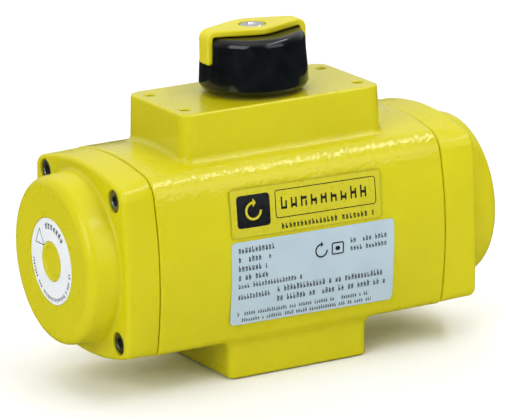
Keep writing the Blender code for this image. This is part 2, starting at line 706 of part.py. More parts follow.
def make_travel_stop(side):
    name, x = side_name(side), side * STOP_X
    bolt = in_place(f"stop_bolt_{name}", turned(
        [(0, STOP_TIP), (STOP_RADIUS - 0.8, STOP_TIP), (STOP_RADIUS, STOP_TIP + 0.8),
         (STOP_RADIUS, STOP_END - 0.6), (STOP_RADIUS - 0.6, STOP_END), (0, STOP_END)],
        "Y", COARSE, centre=(x, 0, STOP_Z)), "steel")
    key = [(x + u, STOP_Z + v) for u, v in hexagon(STOP_KEY)]
    cut(bolt, prism(key, STOP_END - 4, STOP_END + 1, "Y"))
    on_axis(bolt, (x, STOP_END, STOP_Z))
    inner, gap = STOP_RADIUS + STOP_CLEARANCE, STOP_CLEARANCE / 2
    low, high = STOP_BOSS + gap, STOP_BOSS + gap + SEAL[1]
    in_place(f"stop_seal_{name}", turned(
        [(inner, low), (SEAL[0], low), (SEAL[0], high), (inner, high)],
        "Y", COARSE, centre=(x, 0, STOP_Z)), "rubber")
    nut = [(x + u, STOP_Z + v) for u, v in hexagon(NUT[0], math.pi / 6)]
    low, high = high + STOP_CLEARANCE, high + STOP_CLEARANCE + NUT[1]
    body = in_place(f"stop_nut_{name}", prism(nut, low, high, "Y"), "steel")
    cut(body, rod(inner, low - 1, high + 1, "Y", COARSE, centre=(x, 0, STOP_Z)))


# ---- position indicator ---------------------------------------------------------------------

def make_indicator_cap():
    """The black cap: a slightly tapered shell with channels for the strap and a keyed boss."""
    low, high = DIAL_RADIUS
    profile = [(low - 2.4, DIAL_BOTTOM), (low - 1.2, DIAL_BOTTOM), (low, DIAL_BOTTOM + 1.4)]
    for k in range(3):
        a = k / 2 * math.pi / 2
        profile.append((high - DIAL_EDGE * (1 - math.cos(a)),
                        DIAL_TOP - DIAL_EDGE * (1 - math.sin(a))))
    under = DIAL_TOP - DIAL_WALL
    profile += [(0, DIAL_TOP), (0, under), (high - 3.0, under), (high - 2.6, under - 0.6)]
    cap = in_place("indicator_cap", turned(profile, "Z", FINE), "black")
    join(cap, rod(10.5, 119, DIAL_TOP - 1, "Z", MEDIUM))
    channels = []
    for side in (-1, 1):
        ends = sorted((side * (STRAP_REACH - STRAP_THICK - CHANNEL_GAP), side * (STRAP_REACH + 4)))
        half = STRAP_END_WIDTH / 2 + CHANNEL_GAP
        channels.append(prism([(ends[0], -half), (ends[1], -half), (ends[1], half),
                               (ends[0], half)], STRAP_TOP - TAB_DROP - CHANNEL_GAP,
                              STRAP_TOP + 1))
    cut(cap, boss_socket(), rod(DIAL_SCREW_HOLE, 120, DIAL_TOP + 2, "Z", COARSE), *channels)


def boss_socket():
    """The flat-sided hole that fits over the shaft's end."""
    outline = []
    for k in range(24):
        a = 2 * math.pi * k / 24
        outline.append((7.2 * math.cos(a), max(-5.2, min(5.2, 7.2 * math.sin(a)))))
    return prism(outline, 118, SHAFT_TOP + 0.3)


def make_indicator_strap():
    """The yellow pointer: a lozenge over the cap whose narrow ends fold down its sides."""
    half_end, half_mid = STRAP_END_WIDTH / 2, STRAP_MID_WIDTH / 2
    bend = STRAP_BEND
    inside = STRAP_REACH - bend
    lozenge = [(-inside, -half_end), (-3, -half_mid), (3, -half_mid), (inside, -half_end),
               (inside, half_end), (3, half_mid), (-3, half_mid), (-inside, half_end)]
    low = STRAP_TOP - STRAP_THICK
    strap = in_place("indicator_strap", prism(lozenge, low, STRAP_TOP), "paint")
    inner = bend - STRAP_THICK + 0.6
    tabs = []
    for side in (-1, 1):
        outline = [(side * (inside - 0.5), STRAP_TOP)]
        for k in range(4):
            a = k / 3 * math.pi / 2
            outline.append((side * (inside + bend * math.sin(a)),
                            STRAP_TOP - bend * (1 - math.cos(a))))
        outline += [(side * STRAP_REACH, STRAP_TOP - TAB_DROP),
                    (side * (STRAP_REACH - STRAP_THICK), STRAP_TOP - TAB_DROP),
                    (side * (STRAP_REACH - STRAP_THICK), low - inner),
                    (side * (STRAP_REACH - STRAP_THICK - inner), low), (side * (inside - 0.5), low)]
        tabs.append(prism(outline, -half_end, half_end, "Y"))
    join(strap, *tabs)
    wide, floor = HEAD_RECESS[0], STRAP_TOP - HEAD_RECESS[1]
    recess = turned([(0, low - 1), (DIAL_SCREW_HOLE, low - 1), (DIAL_SCREW_HOLE, floor),
                     (wide, floor), (wide, STRAP_TOP + 1), (0, STRAP_TOP + 1)], "Z", 24)
    cut(strap, recess)


def make_indicator_screw():
    """A low-head socket screw that holds strap and cap on the shaft."""
    head, height, shank, length, key = DIAL_SCREW
    base = STRAP_TOP - HEAD_RECESS[1] + 0.2
    screw = in_place("indicator_screw", turned(
        [(0, base - length), (shank, base - length), (shank, base), (head, base),
         (head, base + height - 0.5), (head - 0.8, base + height), (0, base + height)],
        "Z", MEDIUM), "steel")
    cut(screw, prism(hexagon(key), base - height, base + 2 * height))


# ---- labels ---------------------------------------------------------------------------------

def make_label(name, look, middle_x, middle_z, width, height):
    """A thin plate that follows the housing's crowned front."""
    rows = 6
    front, back = [], []
    for k in range(rows + 1):
        z = middle_z - height / 2 + height * k / rows
        back.append((-side_depth(z) - LABEL_LIFT, z))
        front.append((-side_depth(z) - LABEL_LIFT - LABEL_THICK, z))
    outline = front + back[::-1]
    in_place(name, prism(outline, middle_x - width / 2, middle_x + width / 2, "X"), look)


def make_labels():
    make_label("rating_plate", "plate", *RATING_PLATE)
    make_label("name_sticker", "paint", *NAME_STICKER)
    for side in (-1, 1):
        make_label_ring(side)


# ---- the whole actuator ---------------------------------------------------------------------

def clear_scene():
    for obj in list(bpy.data.objects):
        bpy.data.objects.remove(obj, do_unlink=True)


def make_moving_frames():
    """Gather what turns with the shaft, and what slides with each piston, under an empty."""
    groups = {
        "shaft_axis": ((0, 0, 0), ["pinion_shaft", "stop_cam", "thrust_washer", "snap_ring",
                                   "lower_shaft_o_ring", "upper_shaft_o_ring", "indicator_cap",
                                   "indicator_strap", "indicator_screw"]),
        "piston_axis_left": ((-PISTON_INNER, 0, AXIS_Z), ["piston_left", "piston_o_ring_left",
                                                          "guide_band_left", "rack_pad_left"]),
        "piston_axis_right": ((PISTON_INNER, 0, AXIS_Z), ["piston_right", "piston_o_ring_right",
                                                          "guide_band_right", "rack_pad_right"]),
    }
    for name, (place, pieces) in groups.items():
        axis = bpy.data.objects.new(name, None)
        axis.location = Vector(place) * MM
        axis.empty_display_size = 0.02
        bpy.context.collection.objects.link(axis)
        bpy.context.view_layer.update()
        for piece in pieces:
            obj = bpy.data.objects[piece]
            obj.parent = axis
            obj.matrix_parent_inverse = axis.matrix_world.inverted()


def main():
    clear_scene()
    make_housing()
    for side in (-1, 1):
        make_end_cap(side)
        make_cap_ring(side)
        corners = [(sy, sz) for sz in (1, -1) for sy in (-1, 1)]
        for number, (sy, sz) in enumerate(corners, 1):
            make_cap_screw(side, number, sy, sz)
        make_piston(side)
        make_spring(side)
        make_travel_stop(side)
    make_shaft()
    make_stop_cam()
    make_bearings()
    make_indicator_cap()
    make_indicator_strap()
    make_indicator_screw()
    make_labels()
    make_moving_frames()


main()
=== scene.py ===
"""The looks of a spring-return quarter-turn actuator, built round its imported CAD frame.

The castings are solid fields: simple shapes joined with round fillets, then meshed and cut.
Round pieces are turned profiles. The object's measures are in millimetres until a mesh is made,
and the stage's are in metres.
"""

import json
import math

import bmesh
import bpy
import numpy as np
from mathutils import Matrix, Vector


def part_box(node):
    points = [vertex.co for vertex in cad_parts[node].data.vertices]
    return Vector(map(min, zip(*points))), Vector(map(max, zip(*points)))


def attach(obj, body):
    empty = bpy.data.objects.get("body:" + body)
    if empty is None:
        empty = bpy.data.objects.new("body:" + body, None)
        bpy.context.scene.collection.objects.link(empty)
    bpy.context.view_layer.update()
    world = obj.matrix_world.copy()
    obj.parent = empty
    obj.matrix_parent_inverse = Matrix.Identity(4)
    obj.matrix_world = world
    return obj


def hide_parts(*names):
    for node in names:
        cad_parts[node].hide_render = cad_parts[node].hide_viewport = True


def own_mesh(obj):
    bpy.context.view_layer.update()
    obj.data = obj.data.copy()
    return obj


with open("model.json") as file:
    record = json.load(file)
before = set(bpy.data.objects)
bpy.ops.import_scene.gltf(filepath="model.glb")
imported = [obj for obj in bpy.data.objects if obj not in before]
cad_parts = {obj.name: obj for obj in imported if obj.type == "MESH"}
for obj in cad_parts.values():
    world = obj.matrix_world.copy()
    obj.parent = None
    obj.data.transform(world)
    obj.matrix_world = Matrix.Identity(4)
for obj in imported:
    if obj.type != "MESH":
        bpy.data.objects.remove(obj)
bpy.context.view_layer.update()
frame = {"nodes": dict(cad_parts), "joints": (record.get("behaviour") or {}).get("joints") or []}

import openvdb
from mathutils import Matrix, Vector

MM = 0.001
SIDES = ((-1, "left"), (1, "right"))


def extent(node):
    """A CAD node's lowest and highest corners in millimetres."""
    low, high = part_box(node)
    return low / MM, high / MM


# Sizes that the frame gives
BODY_END = extent("housing")[1].x
PAD_TOP = extent("housing")[1].z
DOME_FACE = extent("end_cap_right")[1].x
DIAL_BOTTOM, DIAL_TOP = extent("indicator_cap")[0].z, extent("indicator_cap")[1].z
STRAP_TOP, STRAP_REACH = extent("indicator_strap")[1].z, extent("indicator_strap")[1].x
SHAFT_FOOT, SHAFT_TOP = extent("pinion_shaft")[0].z, extent("pinion_shaft")[1].z

# Housing
AXIS_Z = 52.3
BODY = {"half_width": 39.4, "half_height": 40.4, "corners": (7.0, 2.8), "crown": (4.8, 4.8)}
BODY_EDGE = 0.8
BORE_RADIUS = 29.0
PAD_HALF = (45.9, 24.1)
PAD_CORNER, PAD_EDGE, PAD_FILLET, PAD_DRAFT = 5.0, 1.0, 2.2, 0.03
FLANGE_HALF = 32.0
FLANGE_CORNER, FLANGE_EDGE, FLANGE_FILLET, FLANGE_DRAFT = 3.0, 0.8, 4.0, 0.012
ACCESSORY_HOLES = (40.0, 15.0)  # along and across, from the middle
ACCESSORY_TAP = (2.1, 9.0)  # radius and depth
VALVE_CIRCLES = ((50.0, 2.5, 11.0), (70.0, 3.4, 12.0))  # diameter, then the holes' radius and depth
AIR_HALF, AIR_CORNER = (28.0, 18.0), 4.0
AIR_Z, AIR_FACE = 40.0, 41.0
AIR_HOLES = (16.0, 12.0)
AIR_TAP = (2.1, 6.0)
PORT_X, PORT_RADIUS = 12.0, 5.7
PORT_DEPTHS = ((-1, 21.0), (1, 10.5))  # side and depth; the left one reaches the bore
STOP_X, STOP_Z, STOP_RADIUS = 15.0, 68.0, 3.9
STOP_BOSS_FACE, STOP_BOSS_RADIUS, STOP_HOLE_START = 40.2, 8.5, 12.0
REAR_EDGE, REAR_FILLET = 0.7, 1.5
SHAFT_BORE = (15.4, 9.4)
BUSH_SEATS = ((17.2, 9.0, 21.0), (11.2, 97.0, 107.2))  # radius, start and end
BORE_CHAMFER = 0.8

# End caps
CAP_GAP = 0.3
CAP_FACE = 81.3
CAP = {"half_width": 39.1, "half_height": 39.9, "corners": (4.5, 3.6), "crown": (1.5, 6.0)}
CAP_SETBACK, CAP_SWELL = 0.4, 1.7
CAP_EDGE, CAP_BACK_EDGE = 1.8, 0.6
DOME_ROOT, DOME_FRONT, DOME_EDGE, DOME_FILLET = 35.2, 34.0, 3.8, 1.5
DOME_START, SPIGOT_STOCK = 4.0, 5.0  # how far past the joint each goes
SCREW_SPREAD = (29.6, 29.3)
COUNTERBORE, COUNTERBORE_DEPTH, COUNTERBORE_EDGE = 4.7, 5.9, 0.45
CLEARANCE_HOLE = (2.8, 55.0)  # radius and inner end
SCREW_TAP = (2.2, 14.0)
SPIGOT_LENGTH, SPIGOT_CLEARANCE = 4.3, 0.3
CAP_RING_GROOVE = (26.9, 3.0, 0.8)  # floor, then where it starts and ends along the spigot
HOLLOW_RADIUS, HOLLOW_END, HOLLOW_CORNER = 26.0, 91.0, 4.0
HOLLOW_BOSS = (10.0, 86.0)
LABEL_RING = (8.3, 17.7)
RECESS = 0.6
DISH_FLOOR, DISH_DEPTH = 6.0, 1.0
CAP_SCREW = {"head": 4.3, "height": 5.0, "shank": 2.0, "shank_length": 20.0, "key": 4.0, "knurls": 32}

# Travel stops
STOP_KEY, STOP_PITCH = 4.0, 1.0
NUT_FLATS, NUT_BORE = 13.0, STOP_RADIUS + 0.15
SEAL_RADIUS = 7.4

# Indicator
DIAL_RADII, DIAL_EDGE = (22.4, 21.3), 3.4
TAB_DROP, TAB_SLOT_HALF = 14.0, 4.5
STRAP_BEND, STRAP_EDGE, TAB_EDGE = 4.0, 0.8, 1.2
STRAP_END, STRAP_FLARE, STRAP_FLARE_REACH, STRAP_MIDDLE = 3.8, 0.43, 20.0, 3.5
STRAP_LEAN = 0.92  # the cosine of its slanting sides
STRAP_WELL, STRAP_HOLE = (5.6, 1.7), 3.3
DIAL_SCREW = {"head": 5.0, "height": 1.5, "shank": 2.3, "shank_length": 18.0, "key": 3.6, "edge": 0.6}

# Shaft
JOURNALS, SHAFT_BODY = (15.0, 9.0), 9.8
SNAP_GROOVE = (8.1, 113.7, 112.4)  # floor, start and end
UPPER_RING_GROOVE = (7.6, 94.2, 92.0)
LOWER_RING_GROOVE = (13.2, 6.8, 4.6)
TEETH, PITCH_RADIUS, MODULE, TOOTH_END = 16, 12.0, 1.5, 11.0
DRIVE_SQUARE, DRIVE_DEPTH = 14.0, 16.8
TOP_RADIUS, TOP_FLATS = 7.0, 5.0

# Threads in the tapped holes
THREAD_PITCH, THREAD_DEPTH, COUNTERSINK = 0.8, 0.28, 0.6

# How finely the fields are meshed
CELL = 0.85
FINE_CELL = 0.45
ROUND = 96


# ---- solid fields: distances in millimetres, negative inside ----------------------------------

def corner_points(half_u, half_v):
    """The four corners of a rectangle round the origin."""
    return [(su * half_u, sv * half_v) for su in (-1, 1) for sv in (-1, 1)]


def rounded_box(u, v, half_u, half_v, corner):
    """A rectangle with round corners."""
    du, dv = np.abs(u) - (half_u - corner), np.abs(v) - (half_v - corner)
    return np.hypot(np.maximum(du, 0), np.maximum(dv, 0)) + np.minimum(np.maximum(du, dv), 0) - corner


def crowned_box(y, z, half_width, half_height, corners, crown):
    """A rounded rectangle whose sides bow outwards, with its upper and lower corner radii."""
    u, v = y, z
    for _ in range(3):
        u, v = (y / (1 - crown[0] / half_width * np.clip(v / half_height, -1.2, 1.2) ** 2),
                z / (1 - crown[1] / half_height * np.clip(u / half_width, -1.2, 1.2) ** 2))
    return rounded_box(u, v, half_width, half_height, np.where(v > 0, *corners))


def join(a, b, fillet):
    """Both solids, with a round fillet where they meet."""
    inside = np.hypot(np.maximum(fillet - a, 0), np.maximum(fillet - b, 0))
    return np.maximum(fillet, np.minimum(a, b)) - inside


def meet(a, b, edge):
    """Where both solids are, with a rounded edge."""
    outside = np.hypot(np.maximum(edge + a, 0), np.maximum(edge + b, 0))
    return np.minimum(-edge, np.maximum(a, b)) + outside


def housing_field(x, y, z):
    solid = crowned_box(y, z - AXIS_Z, **BODY) + 0 * x
    solid = meet(solid, np.abs(x) - BODY_END, BODY_EDGE)
    grow = PAD_DRAFT * (PAD_TOP - z)
    pad = rounded_box(x, y, PAD_HALF[0] + grow, PAD_HALF[1] + grow, PAD_CORNER)
    pad = np.maximum(meet(pad, z - PAD_TOP, PAD_EDGE), AXIS_Z - z)
    solid = join(solid, pad, PAD_FILLET)
    half = FLANGE_HALF + FLANGE_DRAFT * z
    base = rounded_box(x, y, half, half, FLANGE_CORNER)
    solid = join(solid, np.maximum(meet(base, -z, FLANGE_EDGE), z - AXIS_Z), FLANGE_FILLET)
    air = rounded_box(x, z - AIR_Z, *AIR_HALF, AIR_CORNER)
    solid = join(solid, np.maximum(meet(air, y - AIR_FACE, REAR_EDGE), -y), REAR_FILLET)
    for side, _ in SIDES:
        boss = np.hypot(x - side * STOP_X, z - STOP_Z) - STOP_BOSS_RADIUS
        solid = join(solid, np.maximum(meet(boss, y - STOP_BOSS_FACE, REAR_EDGE), -y), REAR_FILLET)
    return solid


def cap_field(x, y, z):
    """The right end cap without its hollow, its spigot not yet turned to size."""
    up = z - AXIS_Z
    joint = BODY_END + CAP_GAP
    along = np.clip((x - joint) / (CAP_FACE - joint), 0, 1)
    squareness = 1 - (1 - along) ** CAP_SWELL
    near = crowned_box(y, up, **BODY) + CAP_SETBACK
    flange = near + (crowned_box(y, up, **CAP) - near) * squareness
    flange = meet(meet(flange, x - CAP_FACE, CAP_EDGE), joint - x, CAP_BACK_EDGE)
    radius = np.hypot(y, up)
    taper = (DOME_ROOT - DOME_FRONT) / (DOME_FACE - CAP_FACE)
    dome = meet(radius - DOME_ROOT + taper * (x - CAP_FACE), x - DOME_FACE, DOME_EDGE)
    solid = join(flange, np.maximum(dome, joint + DOME_START - x), DOME_FILLET)
    for screw_y, screw_z in corner_points(*SCREW_SPREAD):
        hole = np.hypot(y - screw_y, up - screw_z) - COUNTERBORE
        hole = np.maximum(hole, CAP_FACE - COUNTERBORE_DEPTH - x)
        solid = meet(solid, -hole, COUNTERBORE_EDGE)
    spigot = np.maximum(radius - BORE_RADIUS, np.maximum(joint - SPIGOT_STOCK - x, x - CAP_FACE))
    return np.minimum(solid, spigot)


def strap_field(x, y, z):
    """The pointer: a lozenge with soft corners whose narrow ends fold down the cap's sides."""
    thick = STRAP_TOP - DIAL_TOP - 0.2
    reach = np.abs(x)
    over, down = reach - (STRAP_REACH - STRAP_BEND), (STRAP_TOP - STRAP_BEND) - z
    outer = np.where((over > 0) & (down < 0), np.hypot(over, down) - STRAP_BEND,
                     np.maximum(over - STRAP_BEND, -down - STRAP_BEND))
    flare = STRAP_FLARE * (STRAP_FLARE_REACH - np.sqrt(reach ** 2 + STRAP_MIDDLE ** 2))
    half_width = STRAP_END + np.maximum(0, flare)
    slab = meet(outer, -(outer + thick), STRAP_EDGE)
    slab = meet(slab, (np.abs(y) - half_width) * STRAP_LEAN, STRAP_EDGE)
    slab = meet(slab, (STRAP_TOP - TAB_DROP) - z, TAB_EDGE)
    away = np.hypot(x, y)
    well = np.maximum(away - STRAP_WELL[0], STRAP_TOP - STRAP_WELL[1] - z)
    return meet(slab, -np.minimum(well, away - STRAP_HOLE), 0.35)


def settle(points, field):
    """Slide meshed points onto the field's exact surface."""
    step = 0.02
    for _ in range(3):
        x, y, z = points.T
        here = field(x, y, z)
        slope = np.stack([(field(x + step, y, z) - field(x - step, y, z)) / (2 * step),
                          (field(x, y + step, z) - field(x, y - step, z)) / (2 * step),
                          (field(x, y, z + step) - field(x, y, z - step)) / (2 * step)], 1)
        steep = np.maximum((slope ** 2).sum(1), 0.25)
        points = points - np.clip(here / steep, -0.5, 0.5)[:, None] * slope
    return points


def ruler(low, high, cell, *edges, fine=0.35, reach=1.6):
    """Positions along an axis, closer together near the given edges."""
    marks = [low - 2 * cell]
    while marks[-1] < high + 2 * cell:
        near = any(abs(marks[-1] - edge) < reach for edge in edges)
        marks.append(marks[-1] + (fine if near else cell))
    return np.array(marks)


def meshed(name, field, *rulers):
    """An object whose surface is the field's zero, sampled where the three rulers' marks cross."""
    x, y, z = np.meshgrid(*rulers, indexing="ij", sparse=True)
    values = np.broadcast_to(field(x, y, z), [len(marks) for marks in rulers])
    limit = 3 * CELL
    grid = openvdb.FloatGrid(limit)
    grid.copyFromArray(np.clip(values, -limit, limit).astype(np.float32))
    points, quads = grid.convertToQuads(0.0)
    points = np.stack([np.interp(points[:, k], np.arange(len(marks)), marks)
                       for k, marks in enumerate(rulers)], 1)
    points = settle(points, field)
    mesh = bpy.data.meshes.new(name)
    mesh.from_pydata((points * MM).tolist(), [], quads.tolist())
    mesh.validate()
    obj = bpy.data.objects.new(name, mesh)
    bpy.context.scene.collection.objects.link(obj)
    return obj


# ---- turned, lofted and extruded shapes --------------------------------------------------------

AXES = {"X": Vector((1, 0, 0)), "Y": Vector((0, 1, 0)), "Z": Vector((0, 0, 1))}


def new_object(name, bm, smooth_angle=32):
    """Turn a bmesh drawn in millimetres into a smooth-shaded object in metres."""
    bmesh.ops.scale(bm, verts=bm.verts, vec=(MM, MM, MM))
    bmesh.ops.recalc_face_normals(bm, faces=bm.faces)
    mesh = bpy.data.meshes.new(name)
    bm.to_mesh(mesh)
    bm.free()
    mesh.shade_smooth()
    mesh.set_sharp_from_angle(angle=math.radians(smooth_angle))
    obj = bpy.data.objects.new(name, mesh)
    bpy.context.scene.collection.objects.link(obj)
    return obj


def turned(profile, axis="Z", count=ROUND, centre=(0, 0, 0)):
    """A closed profile of (radius, height) points turned about an axis.

    A radius may be a function of the angle.
    """
    bm = bmesh.new()
    turn = AXES["Z"].rotation_difference(AXES[axis]).to_matrix()
    rings = []
    for radius, height in profile:
        if not callable(radius) and radius < 1e-6:
            rings.append([bm.verts.new(turn @ Vector((0, 0, height)) + Vector(centre))])
            continue
        ring = []
        for k in range(count):
            a = 2 * math.pi * k / count
            r = radius(a) if callable(radius) else radius
            point = Vector((r * math.cos(a), r * math.sin(a), height))
            ring.append(bm.verts.new(turn @ point + Vector(centre)))
        rings.append(ring)
    for low, high in zip(rings, rings[1:] + rings[:1]):
        for k in range(count):
            corners = [low[k % len(low)], low[(k + 1) % len(low)],
                       high[(k + 1) % len(high)], high[k % len(high)]]
            kept = list(dict.fromkeys(corners))
            if len(kept) > 2:
                bm.faces.new(kept)
    return bm


def rod(radius, start, end, axis, centre=(0, 0, 0), count=48):
    return turned([(0, start), (radius, start), (radius, end), (0, end)], axis, count, centre)


def block(low, high):
    """A box between two corners, for trimming."""
    bm = bmesh.new()
    bmesh.ops.create_cube(bm, size=1)
    size = Vector(high) - Vector(low)
    bmesh.ops.scale(bm, verts=bm.verts, vec=size)
    bmesh.ops.translate(bm, verts=bm.verts, vec=(Vector(high) + Vector(low)) / 2)
    return bm


def arc(centre, radius, start, end, steps=6):
    """Profile points along an arc, angles in degrees."""
    return [(centre[0] + radius * math.cos(math.radians(start + (end - start) * k / steps)),
             centre[1] + radius * math.sin(math.radians(start + (end - start) * k / steps)))
            for k in range(steps + 1)]


def groove(radius, floor, start, end):
    """Profile points of a groove, or of a wider seat in a bore, between two heights."""
    return [(radius, start), (floor, start), (floor, end), (radius, end)]


def polygon(sides, across_flats, turn=0.0):
    """The radius of a regular polygon as a function of the angle."""
    def radius(angle):
        wedge = 2 * math.pi / sides
        return across_flats / 2 / math.cos((angle - turn) % wedge - wedge / 2)
    return radius


def carve(obj, *finished_cutters):
    """Cut shapes out of obj. Each finish comes with the cutters whose cut faces take it."""
    group = bpy.data.collections.new(f"{obj.name}_cutters")
    bpy.context.scene.collection.children.link(group)
    tools = []
    for finish, cutters in finished_cutters:
        for bm in cutters:
            tool = new_object(f"{obj.name}_cutter_{len(tools)}", bm)
            tool.data.materials.append(finish)
            bpy.context.scene.collection.objects.unlink(tool)
            group.objects.link(tool)
            tools.append(tool)
    step = obj.modifiers.new("carve", "BOOLEAN")
    step.operation = "DIFFERENCE"
    step.solver = "EXACT"
    step.material_mode = "TRANSFER"
    step.operand_type = "COLLECTION"
    step.collection = group
    seen = obj.evaluated_get(bpy.context.evaluated_depsgraph_get())
    mesh = bpy.data.meshes.new_from_object(seen)
    obj.modifiers.clear()
    obj.data = mesh
    for tool in tools:
        bpy.data.objects.remove(tool, do_unlink=True)
    bpy.data.collections.remove(group)
    mesh.shade_smooth()
    mesh.set_sharp_from_angle(angle=math.radians(34))


def flipped(bm):
    """The left-hand copy of a right-hand shape: half a turn about the upright axis."""
    bmesh.ops.rotate(bm, verts=bm.verts, cent=(0, 0, 0), matrix=Matrix.Rotation(math.pi, 3, "Z"))
    return bm


# ---- sums inside a material's node tree --------------------------------------------------------

class Wire:
    """A number in a node tree that can be added, multiplied and compared like a Python number."""

    def __init__(self, tree, socket):
        self.tree, self.socket = tree, socket

    def use(self, operation, *others):
        node = self.tree.nodes.new("ShaderNodeMath")
        node.operation = operation
        for place, value in enumerate((self, *others)):
            if isinstance(value, Wire):
                self.tree.links.new(value.socket, node.inputs[place])
            else:
                node.inputs[place].default_value = value
        return Wire(self.tree, node.outputs[0])

    def __add__(self, other):
        return self.use("ADD", other)

    def __sub__(self, other):
        return self.use("SUBTRACT", other)

    def __mul__(self, other):
        return self.use("MULTIPLY", other)

    def __truediv__(self, other):
        return self.use("DIVIDE", other)

    def above(self, edge):
        return self.use("GREATER_THAN", edge)

    def below(self, edge):
        return self.use("LESS_THAN", edge)

    def between(self, low, high):
        return self.above(low) * self.below(high)

    def either(self, other):
        return self.use("MAXIMUM", other)

    def clamp(self):
        return self.use("MAXIMUM", 0).use("MINIMUM", 1)

    def invert(self):
        return self * -1 + 1


def length(a, b):
    return (a * a + b * b).use("SQRT")


class Look:
    """A material with one Principled shader and the wires that lead to it."""

    def __init__(self, name, colour, roughness, metallic=0.0, **sockets):
        self.material = bpy.data.materials.new(name)
        self.material.use_nodes = True
        self.tree = self.material.node_tree
        self.shader = self.tree.nodes["Principled BSDF"]
        self.shader.inputs["Base Color"].default_value = (*colour, 1)
        self.shader.inputs["Roughness"].default_value = roughness
        self.shader.inputs["Metallic"].default_value = metallic
        for socket, value in sockets.items():
            self.shader.inputs[socket.replace("_", " ")].default_value = value
        self.places = self.tree.nodes.new("ShaderNodeTexCoord")

    def place(self):
        """Where the point lies in the shared frame at rest, as three wires in millimetres."""
        split = self.tree.nodes.new("ShaderNodeSeparateXYZ")
        self.tree.links.new(self.places.outputs["Object"], split.inputs[0])
        return [Wire(self.tree, split.outputs[k]) * (1 / MM) for k in range(3)]

    def noise(self, size, detail=2.0, stretch=(1, 1, 1)):
        """Noise whose features are about size millimetres across."""
        node = self.tree.nodes.new("ShaderNodeTexNoise")
        node.inputs["Scale"].default_value = 1 / (size * MM)
        node.inputs["Detail"].default_value = detail
        if stretch == (1, 1, 1):
            self.tree.links.new(self.places.outputs["Object"], node.inputs["Vector"])
        else:
            scale = self.tree.nodes.new("ShaderNodeMapping")
            scale.inputs["Scale"].default_value = stretch
            self.tree.links.new(self.places.outputs["Object"], scale.inputs["Vector"])
            self.tree.links.new(scale.outputs[0], node.inputs["Vector"])
        return Wire(self.tree, node.outputs["Fac"])

    def spread(self, wire, low, high, start=0.3, end=0.7):
        """A wire stretched from start..end to low..high."""
        node = self.tree.nodes.new("ShaderNodeMapRange")
        for place, value in zip(("From Min", "From Max", "To Min", "To Max"), (start, end, low, high)):
            node.inputs[place].default_value = value
        self.tree.links.new(wire.socket, node.inputs["Value"])
        return Wire(self.tree, node.outputs["Result"])

    def blend(self, factor, first, second):
        """A colour that goes from first to second; either may be a socket."""
        node = self.tree.nodes.new("ShaderNodeMix")
        node.data_type = "RGBA"
        self.tree.links.new(factor.socket, node.inputs["Factor"])
        for name, value in (("A", first), ("B", second)):
            socket = next(s for s in node.inputs if s.name == name and s.type == "RGBA")
            if isinstance(value, tuple):
                socket.default_value = (*value, 1)
            else:
                self.tree.links.new(value, socket)
        return next(s for s in node.outputs if s.type == "RGBA")

    def mottle(self, size, detail, first, second, start=0.3, end=0.7):
        """A colour that drifts from first to second over patches of the given size."""
        return self.blend(self.spread(self.noise(size, detail), 0, 1, start, end), first, second)

    def set(self, socket, wire):
        self.tree.links.new(wire.socket if isinstance(wire, Wire) else wire, self.shader.inputs[socket])

    def bump(self, *layers):
        """Chain bumps, each a wire and the height in millimetres that it stands for."""
        normal = None
        for wire, height in layers:
            node = self.tree.nodes.new("ShaderNodeBump")
            node.inputs["Strength"].default_value = 1.0
            node.inputs["Distance"].default_value = height * MM
            self.tree.links.new(wire.socket, node.inputs["Height"])
            if normal:
                self.tree.links.new(normal, node.inputs["Normal"])
            normal = node.outputs[0]
        self.tree.links.new(normal, self.shader.inputs["Normal"])
        self.tree.links.new(normal, self.shader.inputs["Coat Normal"])


# ---- materials ---------------------------------------------------------------------------------

YELLOW = (0.60, 0.545, 0.004)
INK = (0.006, 0.007, 0.009)


def dimmed(colour, factor):
    return tuple(c * factor for c in colour)


def paint_look(name, peel, sink, coat, band=None):
    """Glossy sprayed enamel. The peel and the sink are the heights of its fine and broad waves.

    The peel is four times as deep between the two heights of the band.
    """
    look = Look(name, YELLOW, 0.3, IOR=1.33, Coat_Weight=coat, Coat_Roughness=0.06, Coat_IOR=1.35)
    look.set("Base Color", look.mottle(30, 3, YELLOW, dimmed(YELLOW, 0.95)))
    look.set("Roughness", look.spread(look.noise(7, 4), 0.26, 0.34))
    waves = look.noise(1.8, 0)
    if band:
        z = look.place()[2]
        rise = look.spread(z, 0.25, 1, band[0] - 3, band[0])
        fall = look.spread(z, 1, 0.25, band[1], band[1] + 3)
        waves = waves * rise.use("MINIMUM", fall)
        peel = peel * 4
    look.bump((look.noise(16, 0), sink), (waves, peel))
    return look.material


def pointer_look():
    look = Look("pointer_plastic", (0.68, 0.60, 0.004), 0.35, Coat_Weight=0.2, Coat_Roughness=0.15)
    look.set("Base Color", look.mottle(9, 3, (0.70, 0.62, 0.004), (0.64, 0.56, 0.004)))
    look.set("Roughness", look.spread(look.noise(1.5, 4), 0.3, 0.42))
    look.bump((look.noise(8, 1), 0.03), (look.noise(0.6, 2), 0.004))
    return look.material


def black_look():
    """Glossy moulded plastic with a trace of dust and flow marks."""
    look = Look("black_plastic", (0.004, 0.005, 0.006), 0.14, IOR=1.42)
    look.set("Base Color", look.mottle(6, 5, (0.003, 0.004, 0.005), (0.007, 0.009, 0.010), 0.35, 0.75))
    look.set("Roughness", look.spread(look.noise(3, 4), 0.10, 0.2))
    look.bump((look.noise(14, 1), 0.012), (look.noise(0.5, 2), 0.002))
    return look.material


